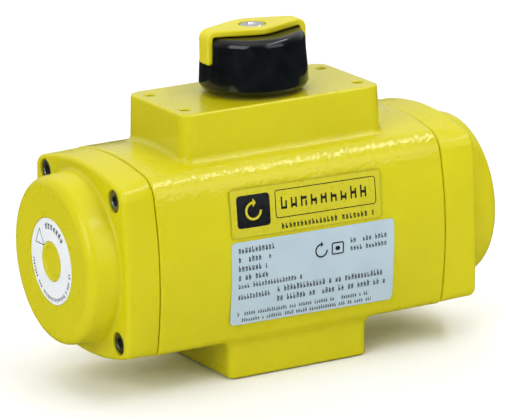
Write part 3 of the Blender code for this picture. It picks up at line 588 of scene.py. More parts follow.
def metal_look(name, colour, rough, grain=0.5, stretch=(1, 1, 1), spread=0.1, height=0.006):
    """Metal with tool marks: stretched noise for turned or ground faces."""
    look = Look(name, colour, rough, 1.0)
    marks = look.noise(grain, 3, stretch)
    look.set("Base Color", look.mottle(4, 4, colour, dimmed(colour, 0.78)))
    look.set("Roughness", look.spread(marks, rough - spread / 2, rough + spread))
    look.bump((marks, height))
    return look.material


def soft_look(name, colour, rough, size=0.8, height=0.01):
    """Rubber or plain moulded plastic with a fine matt grain."""
    look = Look(name, colour, rough)
    look.set("Base Color", look.mottle(5, 4, colour, dimmed(colour, 0.8)))
    look.set("Roughness", look.spread(look.noise(size, 3), rough - 0.08, min(1, rough + 0.1)))
    look.bump((look.noise(size, 3), height))
    return look.material


def round_box_mask(u, v, centre, half, corner):
    """1 inside a rectangle with round corners."""
    du = ((u - centre[0]).use("ABSOLUTE") - (half[0] - corner)).use("MAXIMUM", 0)
    dv = ((v - centre[1]).use("ABSOLUTE") - (half[1] - corner)).use("MAXIMUM", 0)
    return length(du, dv).below(corner)


def frame_mask(u, v, centre, half, corner, line):
    outer = round_box_mask(u, v, centre, half, corner)
    inner = round_box_mask(u, v, centre, (half[0] - line, half[1] - line), corner - line)
    return outer * inner.invert()


def chance(wire_a, wire_b, seed):
    """A fixed random number for each pair of whole numbers."""
    tree = wire_a.tree
    place = tree.nodes.new("ShaderNodeCombineXYZ")
    tree.links.new(wire_a.socket, place.inputs[0])
    tree.links.new(wire_b.socket, place.inputs[1])
    place.inputs[2].default_value = seed
    node = tree.nodes.new("ShaderNodeTexWhiteNoise")
    tree.links.new(place.outputs[0], node.inputs["Vector"])
    return Wire(tree, node.outputs["Value"])


def mark_shape(cell, row, in_cell, in_row, seed, weight):
    """Two upright strokes and a bar whose heights are drawn by lot: print without letters."""
    left, right, top, bar_height = 0.14, 0.74, 0.82, 0.15
    high = chance(cell, row, seed + 7) * -0.24 + 0.34
    short = chance(cell, row, seed + 13) * 0.36 + 0.22
    bar = chance(cell, row, seed + 17) * 0.46 + 0.26
    first = in_cell.between(left, left + weight) * in_row.above(high)
    second = in_cell.between(right - weight, right) * in_row.above(short)
    level = in_cell.between(left, right) * in_row.above(bar) * (bar + bar_height - in_row).above(0)
    return first.either(second).either(level) * in_row.below(top)


def greek_rows(u, v, left, top, width, rows, pitch, letter, seed, full, weight=0.24, gaps=0.14):
    """Rows of small marks that stand for print without being letters.

    A row is between full and 1 of the width long, and gaps is the share of marks left out.
    """
    down = (v * -1 + top) / pitch
    row = down.use("FLOOR")
    in_row = down - row
    across = (u - left) / letter
    cell = across.use("FLOOR")
    shape = mark_shape(cell, row, across - cell, in_row, seed, weight)
    present = chance(cell, row, seed).above(gaps)
    end = chance(row, row, seed + 3) * (1 - full) * width + full * width + left
    within = down.between(0, rows) * u.above(left) * (end - u).above(0)
    return shape * present * within


def arrow_mask(u, v, centre, radius, line):
    """A quarter-turn arrow: most of a ring with a triangular head."""
    x, y = u - centre[0], v - centre[1]
    away = length(x, y)
    ring = away.between(radius - line / 2, radius + line / 2)
    opening = x.above(0) * y.above(0)
    head = (x * -1 + line * 1.3 - (y - radius).use("ABSOLUTE") * 0.8).above(0) * x.above(-0.2)
    head = head * (y - radius).use("ABSOLUTE").below(line * 1.6)
    return (ring * opening.invert()).either(head)


def triangle_mask(u, v, centre, size, line):
    """The outline of an upright triangle."""
    x, y = (u - centre[0]).use("ABSOLUTE"), v - centre[1]
    def inside(reach):
        slope = (x * 0.866 + y * 0.5).below(reach / 2)
        return slope * y.above(-reach / 2)
    return inside(size) * inside(size - 2 * line).invert()


def flat_place(look, middle, tilt):
    """Wires along and up a label from its middle, when it is stuck on slightly turned."""
    x, _, z = look.place()
    x, z = x - middle[0], z - middle[1]
    c, s = math.cos(tilt), math.sin(tilt)
    return x * c + z * s, z * c - x * s


# Each block of print on the plate: start, drop from the top, width, rows, pitch, letter, seed,
# full, gaps
PLATE_PRINT = ((0, 0, 26, 4, 3.75, 1.55, 1, 0.5, 0.14), (0, 15.0, 30, 1, 3.3, 1.35, 2, 0.95, 0.14),
               (0, 19.6, 15, 1, 3.4, 1.35, 5, 0.95, 0.14), (18, 18.4, 52, 2, 3.9, 1.5, 8, 0.95, 0.3),
               (0, 27.2, 66, 2, 2.7, 1.05, 9, 0.9, 0.14), (51.75, 3.15, 18, 2, 3.3, 1.45, 14, 0.95, 0.14))


def plate_look(middle, tilt, size):
    """A silvery printed film: rows of marks, two plain symbols and fine print."""
    look = Look("rating_film", (0.50, 0.62, 0.69), 0.34, 0.1)
    u, v = flat_place(look, middle, tilt)
    left, top = 3.0 - size[0] / 2, size[1] / 2 - 1.6
    arrow_at, eye_at = (3.6, 8.6), (11.2, 8.6)
    ink = arrow_mask(u, v, arrow_at, 2.6, 0.7)
    ink = ink.either(frame_mask(u, v, eye_at, (2.9, 2.6), 0.9, 0.6))
    ink = ink.either(round_box_mask(u, v, eye_at, (1.1, 0.9), 0.8))
    for start, drop, width, rows, pitch, letter, seed, full, gaps in PLATE_PRINT:
        ink = ink.either(greek_rows(u, v, left + start, top - drop, width, rows, pitch, letter, seed,
                                    full, gaps=gaps))
    look.set("Base Color", look.blend(ink, look.mottle(14, 3, (0.50, 0.62, 0.69), (0.46, 0.58, 0.65)), INK))
    look.set("Metallic", ink * -0.1 + 0.1)
    look.set("Roughness", look.spread(look.noise(2, 3), 0.28, 0.42))
    look.bump((look.noise(20, 1), 0.04))
    return look.material


def sticker_look(middle, tilt, size):
    """A yellow film with a dark badge, an outlined box of heavy marks, a row of small ones and painted shade
    in a thin band along its edge.
    """
    look = Look("name_film", (0.58, 0.53, 0.008), 0.3, Coat_Weight=0.4, Coat_Roughness=0.1)
    u, v = flat_place(look, middle, tilt)
    half_u, half_v = size[0] / 2, size[1] / 2
    badge_at = (-half_u + 10.5, 0.6)
    badge = round_box_mask(u, v, badge_at, (7.6, 6.6), 1.6) * arrow_mask(u, v, badge_at, 3.3, 1.0).invert()
    box_at, box_half = (9.0, 1.8), (half_u - 11.5, half_v - 4.2)
    outline = frame_mask(u, v, box_at, box_half, 1.4, 0.4)
    heavy = greek_rows(u, v, box_at[0] - box_half[0] + 2.0, box_at[1] + 4.0, 41.5, 1, 7.6, 4.6, 41, 1.0,
                       weight=0.16, gaps=0.0)
    small = greek_rows(u, v, box_at[0] - 21, -half_v + 4.4, 43, 1, 3.4, 1.75, 21, 1.0,
                       weight=0.26, gaps=0.06)
    # rim: a thin band just inside the film's edge, where painted shade stands for the shading of the edge
    rim = frame_mask(u, v, (0, 0), (half_u - 0.05, half_v - 0.05), 1.2, 0.3)
    ink = badge.either(outline).either(heavy).either(small)
    film = look.mottle(10, 3, (0.58, 0.53, 0.009), (0.54, 0.49, 0.009))
    # painted shade: the edge band takes a darker yellow
    film = look.blend(rim, film, (0.36, 0.33, 0.006))
    look.set("Base Color", look.blend(ink, film, INK))
    look.set("Roughness", look.spread(look.noise(3, 3), 0.24, 0.36))
    look.bump((look.noise(18, 1), 0.04))
    return look.material


def ring_look(side):
    """A white film with marks that run round it and a plain triangle outline."""
    look = Look(f"ring_film_{'right' if side > 0 else 'left'}", (0.80, 0.83, 0.85), 0.38)
    _, y, z = look.place()
    u, v = y * side, z - AXIS_Z
    away = length(u, v)
    angle = v.use("ARCTAN2", u) * (180 / math.pi)
    heading = greek_rows(angle, away, 44, 16.8, 66, 1, 4.4, 9.4, 31, 1.0, gaps=0.0)
    fine = greek_rows(angle * -1, away, 6, 17.2, 168, 1, 2.6, 4.6, 35, 1.0, weight=0.26)
    marks = heading.either(fine).either(triangle_mask(u, v, (-9.6, 7.6), 4.6, 0.4))
    look.set("Base Color", look.blend(marks, look.mottle(8, 3, (0.80, 0.83, 0.85), (0.74, 0.77, 0.79)), INK))
    look.set("Roughness", look.spread(look.noise(2, 3), 0.32, 0.46))
    look.bump((look.noise(9, 1), 0.03))
    return look.material


# ---- putting pieces in place -------------------------------------------------------------------

def mount(obj, body, slot, *nodes, look=None):
    """Give a piece its finish and its body, and hide the CAD nodes that it stands for."""
    if look:
        obj.data.materials.clear()
        obj.data.materials.append(look)
    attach(obj, body)
    if nodes:
        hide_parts(*nodes)


# ---- castings ----------------------------------------------------------------------------------

def tapped(radius, start, end, axis, centre):
    """A tapped hole: a cone at its blind start, a fine thread and a countersunk mouth at its end."""
    inward = 1 if end > start else -1
    depth, cone = abs(end - start), radius * 0.5
    profile = [(0, start), (radius, start + inward * cone)]
    turns = max(2, int(depth / THREAD_PITCH))
    for k in range(turns):
        low = start + inward * (cone + (depth - cone - COUNTERSINK) * k / turns)
        profile += [(radius, low + inward * 0.05), (radius + THREAD_DEPTH, low + inward * 0.35)]
    mouth = radius + COUNTERSINK
    profile += [(radius, end - inward * COUNTERSINK), (mouth, end), (mouth, end + inward * 2),
                (0, end + inward * 2)]
    return turned(profile, axis, 32, centre)


def shaft_bore():
    """The stepped hole for the shaft, with a seat for each bush and chamfered mouths."""
    low, high = SHAFT_BORE
    lower_seat, upper_seat = BUSH_SEATS
    profile = [(0, -3), (low + BORE_CHAMFER, -3), (low + BORE_CHAMFER, 0), (low, BORE_CHAMFER),
               *groove(low, *lower_seat), (low, AXIS_Z), (high, AXIS_Z), *groove(high, *upper_seat),
               (high, PAD_TOP - BORE_CHAMFER), (high + BORE_CHAMFER, PAD_TOP),
               (high + BORE_CHAMFER, PAD_TOP + 2), (0, PAD_TOP + 2)]
    return turned(profile)


def housing_cutters():
    """The bores, the ports and the tapped holes that are machined after painting."""
    shapes = [rod(BORE_RADIUS, -BODY_END - 2, BODY_END + 2, "X", (0, 0, AXIS_Z), ROUND), shaft_bore()]
    for circle, radius, depth in VALVE_CIRCLES:
        for x, y in corner_points(circle / 2 / math.sqrt(2), circle / 2 / math.sqrt(2)):
            shapes.append(tapped(radius, depth, 0, "Z", (x, y, 0)))
    for x, z in corner_points(*AIR_HOLES):
        shapes.append(tapped(AIR_TAP[0], AIR_FACE - AIR_TAP[1], AIR_FACE, "Y", (x, 0, AIR_Z + z)))
    for side, depth in PORT_DEPTHS:
        shapes.append(tapped(PORT_RADIUS, AIR_FACE - depth, AIR_FACE, "Y", (side * PORT_X, 0, AIR_Z)))
    for side, _ in SIDES:
        shapes.append(rod(STOP_RADIUS + 0.2, STOP_HOLE_START, STOP_BOSS_FACE + 4, "Y",
                          (side * STOP_X, 0, STOP_Z)))
        for y, z in corner_points(*SCREW_SPREAD):
            ends = sorted((side * (BODY_END - SCREW_TAP[1]), side * (BODY_END + 2)))
            shapes.append(rod(SCREW_TAP[0], *ends, "X", (0, y, AXIS_Z + z), 24))
    return shapes


def make_housing(looks):
    housing = meshed("casting", housing_field,
                     ruler(-BODY_END - 1, BODY_END + 1, CELL, -BODY_END, BODY_END),
                     ruler(-AIR_FACE, AIR_FACE + 1, CELL), ruler(-1, PAD_TOP + 1, CELL, 0, PAD_TOP))
    housing.data.materials.append(looks["body_paint"])
    radius, depth = ACCESSORY_TAP
    painted = [tapped(radius, PAD_TOP - depth, PAD_TOP, "Z", (x, y, 0))
               for x, y in corner_points(*ACCESSORY_HOLES)]
    carve(housing, (looks["bare"], housing_cutters()), (looks["body_paint"], painted))
    mount(housing, "housing", "yellow_paint", "housing")


def cap_cutters():
    """What is machined from the cast cap: its spigot with the ring's groove, the hollow, holes."""
    centre, joint = (0, 0, AXIS_Z), BODY_END + CAP_GAP
    start, spigot, outside = joint - SPIGOT_LENGTH, BORE_RADIUS - SPIGOT_CLEARANCE, BORE_RADIUS + 4
    floor, groove_start, groove_end = CAP_RING_GROOVE
    collar = [(0, start - 3), (outside, start - 3), (outside, joint + 0.05), (spigot, joint + 0.05),
              *groove(spigot, floor, start + groove_start, start + groove_end), (spigot, start), (0, start)]
    radius, turn_in, boss = HOLLOW_RADIUS, HOLLOW_END - HOLLOW_CORNER, HOLLOW_BOSS[0]
    hollow = [(0, start - 1), (radius, start - 1), (radius, turn_in),
              *arc((radius - HOLLOW_CORNER, turn_in), HOLLOW_CORNER, 0, 90)[1:],
              (boss + 1, HOLLOW_END), HOLLOW_BOSS, (0, HOLLOW_BOSS[1])]
    shapes = [turned(collar, "X", ROUND, centre), turned(hollow, "X", ROUND, centre)]
    hole, hole_start = CLEARANCE_HOLE
    for y, z in corner_points(*SCREW_SPREAD):
        shapes.append(rod(hole, hole_start, CAP_FACE - COUNTERBORE_DEPTH + 0.5, "X", (0, y, AXIS_Z + z), 32))
    return shapes


def face_cutter():
    """The shallow recess for the ring label, with a soft-edged dish in the middle."""
    inner, outer = LABEL_RING
    floor, top = DOME_FACE - RECESS, DOME_FACE + 3
    profile = [(0, top), (outer + 0.5, top), (outer + 0.5, DOME_FACE), (outer + 0.25, floor),
               (inner - 0.2, floor), *arc((inner - 0.7, floor + 0.05), 0.5, 0, 80, 4),
               *arc((DISH_FLOOR + 0.9, floor - 0.2), 0.55, 100, 170, 3),
               (DISH_FLOOR, DOME_FACE - DISH_DEPTH), (0, DOME_FACE - DISH_DEPTH)]
    return turned(profile, "X", 128, (0, 0, AXIS_Z))


def make_end_cap(side, name, looks):
    wide, tall = 40, 41
    cap = meshed(f"cap_casting_{name}", cap_field, ruler(BODY_END - 6, DOME_FACE + 1, FINE_CELL),
                 ruler(-wide, wide, FINE_CELL), ruler(AXIS_Z - tall, AXIS_Z + tall, FINE_CELL))
    cap.data.materials.append(looks["paint"])
    carve(cap, (looks["bare"], cap_cutters()), (looks["paint"], [face_cutter()]))
    if side < 0:
        cap.data.transform(Matrix.Rotation(math.pi, 4, "Z"))
    mount(cap, "housing", "yellow_paint", f"end_cap_{name}")


def make_label_ring(side, name, looks):
    inner, outer = LABEL_RING
    low = DOME_FACE - RECESS + 0.02
    profile = [(inner, low), (outer, low), (outer, low + 0.2), (outer - 0.1, low + 0.3),
               (inner + 0.1, low + 0.3), (inner, low + 0.2)]
    bm = turned(profile, "X", 128, (0, 0, AXIS_Z))
    ring = new_object(f"ring_film_{name}", flipped(bm) if side < 0 else bm)
    mount(ring, "housing", "white_film", f"label_ring_{name}", look=looks[f"ring_{name}"])


# ---- screws, nuts and stops --------------------------------------------------------------------

def socket_head(head, height, shank, shank_length, key, knurls=0, edge=0.5):
    """A socket-head screw pointing down -Z, its head's underside at zero."""
    def grip(angle):
        return head - 0.13 * (0.5 + 0.5 * math.cos(knurls * angle)) if knurls else head
    hexagon = polygon(6, key)
    mouth, depth = key * 0.62, height * 0.55
    profile = [(0, -shank_length), (shank - 0.5, -shank_length), (shank, -shank_length + 0.5),
               (shank, 0), (grip, 0.0), (grip, height - edge - 0.4)]
    profile += arc((head - edge, height - edge), edge, 0, 90, 4)
    profile += [(mouth, height), (hexagon, height - 0.35), (hexagon, height - depth),
                (key * 0.3, height - depth - 0.3), (0, height - depth - 0.6)]
    return turned(profile, "Z", 96)


def make_cap_screws(looks):
    for side, name in SIDES:
        for number in range(1, 5):
            node = f"cap_screw_{name}_{number}"
            low, high = extent(node)
            middle = (low + high) / 2
            seat = (CAP_FACE - COUNTERBORE_DEPTH + 0.2) * side
            bm = socket_head(**CAP_SCREW)
            spin = Matrix.Rotation(0.7 * number + side, 4, "Z")
            turn = Matrix.Rotation(side * math.pi / 2, 4, "Y")
            place = Matrix.Translation((seat, middle.y, middle.z))
            bmesh.ops.transform(bm, matrix=place @ turn @ spin, verts=bm.verts)
            mount(new_object(f"socket_screw_{name}_{number}", bm), "housing", "dark_steel", node,
                  look=looks["dark_steel"])


def threaded(radius, low, high, pitch):
    """Rings of an outside thread, each a radius that changes with the angle."""
    rings = []
    steps = int((high - low) / pitch * 6)
    for k in range(steps + 1):
        height = low + (high - low) * k / steps
        def wave(angle, height=height):
            turn = (height / pitch - angle / (2 * math.pi)) % 1
            return radius - 0.45 * abs(2 * turn - 1) ** 1.2
        rings.append((wave, height))
    return rings


def stop_screw_profile(low, high):
    key = polygon(6, STOP_KEY)
    return [(0, low), (STOP_RADIUS - 0.8, low), (STOP_RADIUS - 0.4, low + 0.8),
            *threaded(STOP_RADIUS, low + 1.2, high - 0.9, STOP_PITCH), (STOP_RADIUS - 0.7, high),
            (2.5, high), (key, high - 0.3), (key, high - 3.6), (0, high - 4.4)]


def lock_nut_profile(low, high):
    half = NUT_FLATS / 2
    wide = polygon(6, NUT_FLATS, math.pi / 6)
    def rim(angle):
        return min(wide(angle), half + 0.35)
    return [(NUT_BORE, low + 0.5), (NUT_BORE + 0.5, low), (half - 0.4, low), (rim, low + 0.35),
            (wide, low + 0.95), (wide, high - 0.95), (rim, high - 0.35), (half - 0.4, high),
            (NUT_BORE + 0.5, high), (NUT_BORE, high - 0.5)]


def stop_seal_profile(low, high):
    bore, rim = NUT_BORE + 0.1, SEAL_RADIUS
    return [(bore, low + 0.1), (rim - 0.2, low + 0.05), (rim, low + 0.4), (rim - 0.2, high - 0.05),
            (bore, high - 0.1)]


# Each travel stop's pieces: CAD node, piece, profile, finish, corners round it and smooth angle
STOP_PIECES = (("stop_bolt", "stop_screw", stop_screw_profile, "steel", 48, 50),
               ("stop_nut", "lock_nut", lock_nut_profile, "steel", ROUND, 25),
               ("stop_seal", "stop_gasket", stop_seal_profile, "rubber", 64, 32))


def make_stops(looks):
    for side, name in SIDES:
        for node, piece, profile, finish, count, smooth in STOP_PIECES:
            low, high = extent(f"{node}_{name}")
            bm = turned(profile(low.y, high.y), "Y", count, (side * STOP_X, 0, STOP_Z))
            body = f"{name}_stop" if node == "stop_bolt" else "housing"
            mount(new_object(f"{piece}_{name}", bm, smooth), body, finish, f"{node}_{name}",
                  look=looks[finish])


# ---- indicator ---------------------------------------------------------------------------------

def dial_profile():
    """The cap's outline: a rolled foot, a slightly drawn-in side and a soft upper edge."""
    (low, high), top, edge = DIAL_RADII, DIAL_TOP, DIAL_EDGE
    return [(low - 2.1, DIAL_BOTTOM), *arc((low - 1.3, DIAL_BOTTOM + 0.5), 0.5, -90, -45, 3),
            *arc((low - 0.6, DIAL_BOTTOM + 1.9), 0.6, -40, 0, 4), (low - 0.35, DIAL_BOTTOM + 8),
            (low - 0.8, DIAL_BOTTOM + 14), *arc((high - edge, top - edge), edge, 0, 90, 14),
            (9.0, top), (3.5, top), (3.3, top - 0.2), (3.3, top - 3.2), (18.2, top - 3.2),
            *arc((17.4, top - 4.2), 1.0, 90, 0, 4)]


def make_indicator(looks):
    cap = new_object("dial_cap", turned(dial_profile(), "Z", 160), 30)
    half, near = TAB_SLOT_HALF, STRAP_REACH - 3.0
    foot, top = STRAP_TOP - TAB_DROP - 0.3, STRAP_TOP + 2
    slots = [block((near, -half, foot), (near + 8, half, top)),
             block((-near - 8, -half, foot), (-near, half, top))]
    cap.data.materials.append(looks["black"])
    carve(cap, (looks["black"], slots))
    mount(cap, "shaft", "black_plastic", "indicator_cap")

    cell = 0.36
    strap = meshed("pointer", strap_field, ruler(-STRAP_REACH - 1, STRAP_REACH + 1, cell),
                   ruler(-14, 14, cell), ruler(STRAP_TOP - TAB_DROP - 1, STRAP_TOP + 1, cell))
    strap.data.shade_smooth()
    mount(strap, "shaft", "pointer_plastic", "indicator_strap", look=looks["pointer"])

    bm = socket_head(**DIAL_SCREW)
    bmesh.ops.transform(bm, matrix=Matrix.Translation((0, 0, STRAP_TOP - 1.6)), verts=bm.verts)
    mount(new_object("dial_screw", bm), "shaft", "steel", "indicator_screw", look=looks["bright_steel"])


# ---- labels on the front -----------------------------------------------------------------------

def side_depth(z):
    """How far the crowned side stands from the middle at height z."""
    return BODY["half_width"] - BODY["crown"][0] * ((z - AXIS_Z) / BODY["half_height"]) ** 2


def make_label(name, node, slot, look, middle, size, tilt, corner=1.2, thick=0.3):
    """A film with round corners that lies on the crowned side, slightly turned."""
    half_u, half_v = size[0] / 2, size[1] / 2
    columns, rows = 60, 28
    bm = bmesh.new()
    c, s = math.cos(tilt), math.sin(tilt)
    sheets = []
    for lift in (0.04, thick):
        sheet = []
        for j in range(rows + 1):
            v = half_v * (2 * j / rows - 1)
            edge = max(0.0, abs(v) - (half_v - corner))
            reach = half_u - corner + math.sqrt(max(0.0, corner ** 2 - edge ** 2))
            line = []
            for i in range(columns + 1):
                u = reach * (2 * i / columns - 1)
                x, z = middle[0] + u * c - v * s, middle[1] + u * s + v * c
                line.append(bm.verts.new((x, -side_depth(z) - lift, z)))
            sheet.append(line)
        for j in range(rows):
            for i in range(columns):
                bm.faces.new((sheet[j][i], sheet[j][i + 1], sheet[j + 1][i + 1], sheet[j + 1][i]))
        sheets.append(sheet)
    back, front = sheets
    rim = [(0, i) for i in range(columns)] + [(j, columns) for j in range(rows)]
    rim += [(rows, i) for i in range(columns, 0, -1)] + [(j, 0) for j in range(rows, 0, -1)]
    for (j, i), (jj, ii) in zip(rim, rim[1:] + rim[:1]):
        bm.faces.new((back[j][i], back[jj][ii], front[jj][ii], front[j][i]))
    mount(new_object(name, bm), "housing", slot, node, look=look)


PLATE = {"middle": (3.4, 41.1), "size": (75.5, 34.7), "tilt": math.radians(-0.8)}
STICKER = {"middle": (1.2, 69.7), "size": (69.7, 19.9), "tilt": math.radians(-1.1)}


# ---- inside ------------------------------------------------------------------------------------

def square_notch(side_length):
    """The eight-pointed outline of two squares, as a radius at each angle."""
    def radius(angle):
        def square(a):
            return side_length / 2 / max(abs(math.cos(a)), abs(math.sin(a)))
        return max(square(angle), square(angle + math.pi / 4))
    return radius


def gear(teeth, pitch_radius, module):
    """A rounded gear outline as a radius at each angle."""
    def radius(angle):
        wave = math.cos(teeth * (angle - math.pi / 2))
        return pitch_radius - 0.15 * module + 1.1 * module * max(-1, min(1, 1.7 * wave))
    return radius


def make_shaft(looks):
    """The shaft from the flats on its top down to the drive socket in its foot."""
    low, high = JOURNALS
    foot, top, body = SHAFT_FOOT, SHAFT_TOP, SHAFT_BODY
    star = square_notch(DRIVE_SQUARE)
    tooth = gear(TEETH, PITCH_RADIUS, MODULE)
    def flatted(angle):
        return min(TOP_RADIUS, TOP_FLATS / max(abs(math.sin(angle)), 0.1))
    profile = [(0, top - 14), (2.5, top - 13), (2.5, top - 0.5), (3.0, top),
               (lambda a: flatted(a) - 0.4, top), (flatted, top - 0.5), (flatted, 118),
               (TOP_RADIUS, 117.8), (TOP_RADIUS, 116), (high, 115), *groove(high, *SNAP_GROOVE),
               *groove(high, *UPPER_RING_GROOVE), (high, 77), (body, 76),
               (body, AXIS_Z + TOOTH_END), (lambda a: tooth(a) - 0.5, AXIS_Z + TOOTH_END),
               (tooth, AXIS_Z + TOOTH_END - 0.5), (tooth, AXIS_Z - TOOTH_END + 0.5),
               (lambda a: tooth(a) - 0.5, AXIS_Z - TOOTH_END), (body, AXIS_Z - TOOTH_END),
               (body, 23.5), (low, 22.5), *groove(low, *LOWER_RING_GROOVE), (low, foot + 0.5),
               (low - 0.5, foot), (lambda a: star(a) + 0.5, foot), (star, foot + 0.5),
               (star, DRIVE_DEPTH), (6.5, DRIVE_DEPTH + 0.2), (0, 18.5)]
    shaft = new_object("drive_shaft", turned(profile, "Z", 192))
    mount(shaft, "shaft", "steel", "pinion_shaft", look=looks["steel"])


def coil(start, end, wire, radius, turns, sides=12, per_turn=40):
    """A helix of round wire along X, with a closed turn at each end."""
    bm = bmesh.new()
    section = [(wire * math.cos(2 * math.pi * j / sides), wire * math.sin(2 * math.pi * j / sides))
               for j in range(sides)]
    rings = []
    steps = turns * per_turn
    for k in range(steps + 1):
        t = k / steps
        x = start + (end - start) * min(max((t - 0.5) * 1.25 + 0.5, 0), 1)
        a = 2 * math.pi * turns * t
        out = Vector((0, math.cos(a), math.sin(a)))
        rings.append([bm.verts.new(out * (radius + away) + Vector((x + along, 0, AXIS_Z)))
                      for away, along in section])
    for one, two in zip(rings, rings[1:]):
        for j in range(sides):
            bm.faces.new((one[j], one[(j + 1) % sides], two[(j + 1) % sides], two[j]))
    bm.faces.new(rings[0])
    bm.faces.new(rings[-1])
    return bm


def make_springs(looks):
    wire, radius, turns = 1.8, 16.5, 6
    for side, name in SIDES:
        low, high = extent(f"return_spring_{name}")
        near, far = sorted((abs(low.x), abs(high.x)))
        bm = coil(near + wire, far - wire, wire, radius, turns)
        spring = new_object(f"coil_spring_{name}", flipped(bm) if side < 0 else bm)
        mount(spring, "housing", "spring_steel", f"return_spring_{name}", look=looks["spring"])
        joint = next(j for j in frame["joints"] if j["name"] == f"{name}_piston_stroke")
        stroke = joint["range_m"][1] / MM
        1 - stroke / (far - near)
        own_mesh(spring)


def round_place(node, axis):
    """Where a round CAD node starts and ends along its axis, its radius and its centre."""
    low, high = extent(node)
    index = "XYZ".index(axis)
    radius = (high - low)[(index + 1) % 3] / 2
    return low[index], high[index], radius, (0, 0, AXIS_Z if axis == "X" else 0)


def make_tube(node, inner, axis, body, looks, chamfer=0.3):
    """A bush, washer or band that fills its CAD node's box, with chamfered rims."""
    a, b, outer, centre = round_place(node, axis)
    profile = [(inner, a + chamfer), (inner + chamfer, a), (outer - chamfer, a), (outer, a + chamfer),
               (outer, b - chamfer), (outer - chamfer, b), (inner + chamfer, b), (inner, b - chamfer)]
    piece = new_object(f"{node}_fine", turned(profile, axis, ROUND, centre))
    mount(piece, body, "bearing_plastic", node, look=looks["bearing"])


def make_o_ring(node, wire, axis, body, looks):
    a, b, outer, centre = round_place(node, axis)
    profile = arc((outer - wire, (a + b) / 2), wire, 0, 360, 12)[:-1]
    piece = new_object(f"{node}_fine", turned(profile, axis, ROUND, centre))
    mount(piece, body, "rubber", node, look=looks["rubber"])


def make_round_inner_pieces(looks):
    """Rings, bushes and washers, each turned inside the box of its CAD node."""
    make_tube("lower_bush", 15.3, "Z", "housing", looks)
    make_tube("upper_bush", 9.3, "Z", "housing", looks)
    make_tube("thrust_washer", 9.3, "Z", "shaft", looks)
    make_o_ring("lower_shaft_o_ring", 0.8, "Z", "shaft", looks)
    make_o_ring("upper_shaft_o_ring", 0.6, "Z", "shaft", looks)
    for _, name in SIDES:
        make_o_ring(f"cap_o_ring_{name}", 0.8, "X", "housing", looks)
        make_o_ring(f"piston_o_ring_{name}", 1.3, "X", f"{name}_piston", looks)
        make_tube(f"guide_band_{name}", 27.5, "X", f"{name}_piston", looks, 0.2)


def finish_carried_nodes(looks):
    """The CAD pieces that stay as they are take finer materials."""
    finishes = {"piston_left": "aluminium", "piston_right": "aluminium", "rack_pad_left": "bearing",
                "rack_pad_right": "bearing", "stop_cam": "steel", "snap_ring": "dark_steel"}
    for node, finish in finishes.items():
        mesh = frame["nodes"][node].data
        mesh.materials.clear()
        mesh.materials.append(looks[finish])


# ---- stage -------------------------------------------------------------------------------------

CAMERA = {"azimuth": -28.947, "elevation": 15.196, "roll": -1.572, "lens": 324.3727,
          "distance": 1.88687, "aim_right": -0.00052, "aim_height": 0.05907}
# Each light: name, place, aim, size and power
LIGHTS = (("overhead", (-0.1, -0.3, 1.6), (0, 0, 0.05), (1.4, 1.4), 5.3),
          ("strip", (0.7, -0.42, 1.4), (0, 0, 0.1), (1.7, 0.14), 8),
          ("front_left", (-2.0, -1.0, 1.3), (0, 0, 0.06), (1.8, 1.8), 38),
          ("front_right", (0.9, -2.2, 1.2), (0, 0, 0.06), (1.8, 1.8), 19.5),
          ("backdrop", (1.0, 2.8, 2.2), (1.0, 2.6, 0.0), (3.0, 3.0), 70))


def make_camera():
    azimuth, elevation, roll = (math.radians(CAMERA[k]) for k in ("azimuth", "elevation", "roll"))
    back = Vector((math.sin(azimuth) * math.cos(elevation), -math.cos(azimuth) * math.cos(elevation),
                   math.sin(elevation)))
    level = Vector((math.cos(azimuth), math.sin(azimuth), 0))
    upright = back.cross(level)
    right = level * math.cos(roll) + upright * math.sin(roll)
    up = upright * math.cos(roll) - level * math.sin(roll)
    aim = Vector((0, 0, CAMERA["aim_height"])) + level * CAMERA["aim_right"]
    camera = bpy.data.objects.new("camera", bpy.data.cameras.new("camera"))
    camera.data.sensor_width = 36
    camera.data.lens = CAMERA["lens"]
    camera.data.clip_end = 100
    turn = Matrix((right, up, back)).transposed().to_4x4()
    camera.matrix_world = Matrix.Translation(aim + back * CAMERA["distance"]) @ turn
    bpy.context.scene.collection.objects.link(camera)
    bpy.context.scene.camera = camera


def area_light(name, place, aim, size, power):
    data = bpy.data.lights.new(name, "AREA")
    data.shape = "RECTANGLE"
    data.size, data.size_y = size
    data.energy = power
    light = bpy.data.objects.new(name, data)
    light.location = place
    light.rotation_euler = (Vector(aim) - Vector(place)).to_track_quat("-Z", "Y").to_euler()
    bpy.context.scene.collection.objects.link(light)
    return light


def studio_light(tree):
    """The world's brightness by direction: a bright backdrop and ceiling, a dim front."""
    places = tree.nodes.new("ShaderNodeTexCoord")
    split = tree.nodes.new("ShaderNodeSeparateXYZ")
    tree.links.new(places.outputs["Generated"], split.inputs[0])
    _, y, z = (Wire(tree, split.outputs[k]) for k in range(3))
    behind = ((y + 0.1) * 1.6).clamp()
    over_horizon = (z * 8 + 0.4).clamp()
    above = ((z - 0.35) * 1.6).clamp()
    return behind * over_horizon * 0.55 + above * 0.35 + 0.03


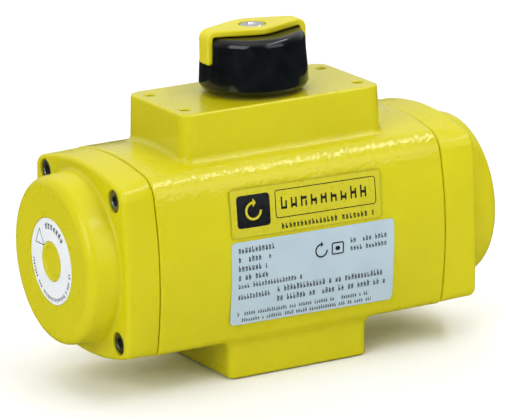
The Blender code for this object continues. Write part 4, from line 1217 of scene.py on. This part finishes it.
def make_stage():
    floor_look = Look("floor", (0.92, 0.92, 0.92), 0.7)
    floor_look.set("Roughness", floor_look.spread(floor_look.noise(40, 2), 0.65, 0.8))
    bm = bmesh.new()
    bmesh.ops.create_circle(bm, cap_ends=True, radius=12, segments=96)
    mesh = bpy.data.meshes.new("floor")
    bm.to_mesh(mesh)
    bm.free()
    floor = bpy.data.objects.new("floor", mesh)
    floor.location.z = -0.0005
    floor.visible_glossy = False
    mesh.materials.append(floor_look.material)
    bpy.context.scene.collection.objects.link(floor)

    for name, place, aim, size, power in LIGHTS:
        light = area_light(name, place, aim, size, power)
        light.visible_glossy = name != "backdrop"  # it whitens the ground and stays out of reflections

    world = bpy.data.worlds.new("studio")
    world.use_nodes = True
    tree = world.node_tree
    background = tree.nodes["Background"]
    background.inputs["Color"].default_value = (1.0, 1.0, 1.0, 1)
    tree.links.new(studio_light(tree).socket, background.inputs["Strength"])
    bpy.context.scene.world = world
    bpy.context.scene.view_settings.view_transform = "Standard"


# ---- the whole actuator ------------------------------------------------------------------------

def make_looks():
    return {
        "paint": paint_look("yellow_paint", 0.012, 0.03, 0.12),
        "body_paint": paint_look("yellow_body_paint", 0.042, 0.03, 0.65, band=(80, 92)),
        "pointer": pointer_look(),
        "black": black_look(),
        "bare": metal_look("bare_alloy", (0.66, 0.67, 0.68), 0.36, 0.4, (1, 1, 0.2)),
        "aluminium": metal_look("turned_aluminium", (0.74, 0.75, 0.76), 0.34, 0.3, (1, 0.15, 0.15)),
        "steel": metal_look("zinc_steel", (0.62, 0.62, 0.60), 0.3, 0.4),
        "bright_steel": metal_look("bright_steel", (0.80, 0.80, 0.80), 0.22, 0.5, (1, 1, 1), 0.06, 0.003),
        "dark_steel": metal_look("black_oxide", (0.22, 0.235, 0.23), 0.42, 0.4),
        "spring": metal_look("spring_wire", (0.34, 0.34, 0.36), 0.3, 0.3, (0.2, 1, 1)),
        "rubber": soft_look("nitrile", (0.014, 0.014, 0.015), 0.55),
        "bearing": soft_look("acetal", (0.78, 0.74, 0.62), 0.42, 1.5, 0.004),
        "plate": plate_look(PLATE["middle"], PLATE["tilt"], PLATE["size"]),
        "sticker": sticker_look(STICKER["middle"], STICKER["tilt"], STICKER["size"]),
        "ring_left": ring_look(-1),
        "ring_right": ring_look(1),
    }


def main():
    make_camera()
    make_stage()
    looks = make_looks()
    make_housing(looks)
    for side, name in SIDES:
        make_end_cap(side, name, looks)
        make_label_ring(side, name, looks)
    make_cap_screws(looks)
    make_stops(looks)
    make_indicator(looks)
    make_label("plate_film", "rating_plate", "plate_film", looks["plate"], **PLATE)
    make_label("sticker_film", "name_sticker", "clear_film", looks["sticker"], **STICKER)
    make_shaft(looks)
    make_springs(looks)
    make_round_inner_pieces(looks)
    finish_carried_nodes(looks)


main()
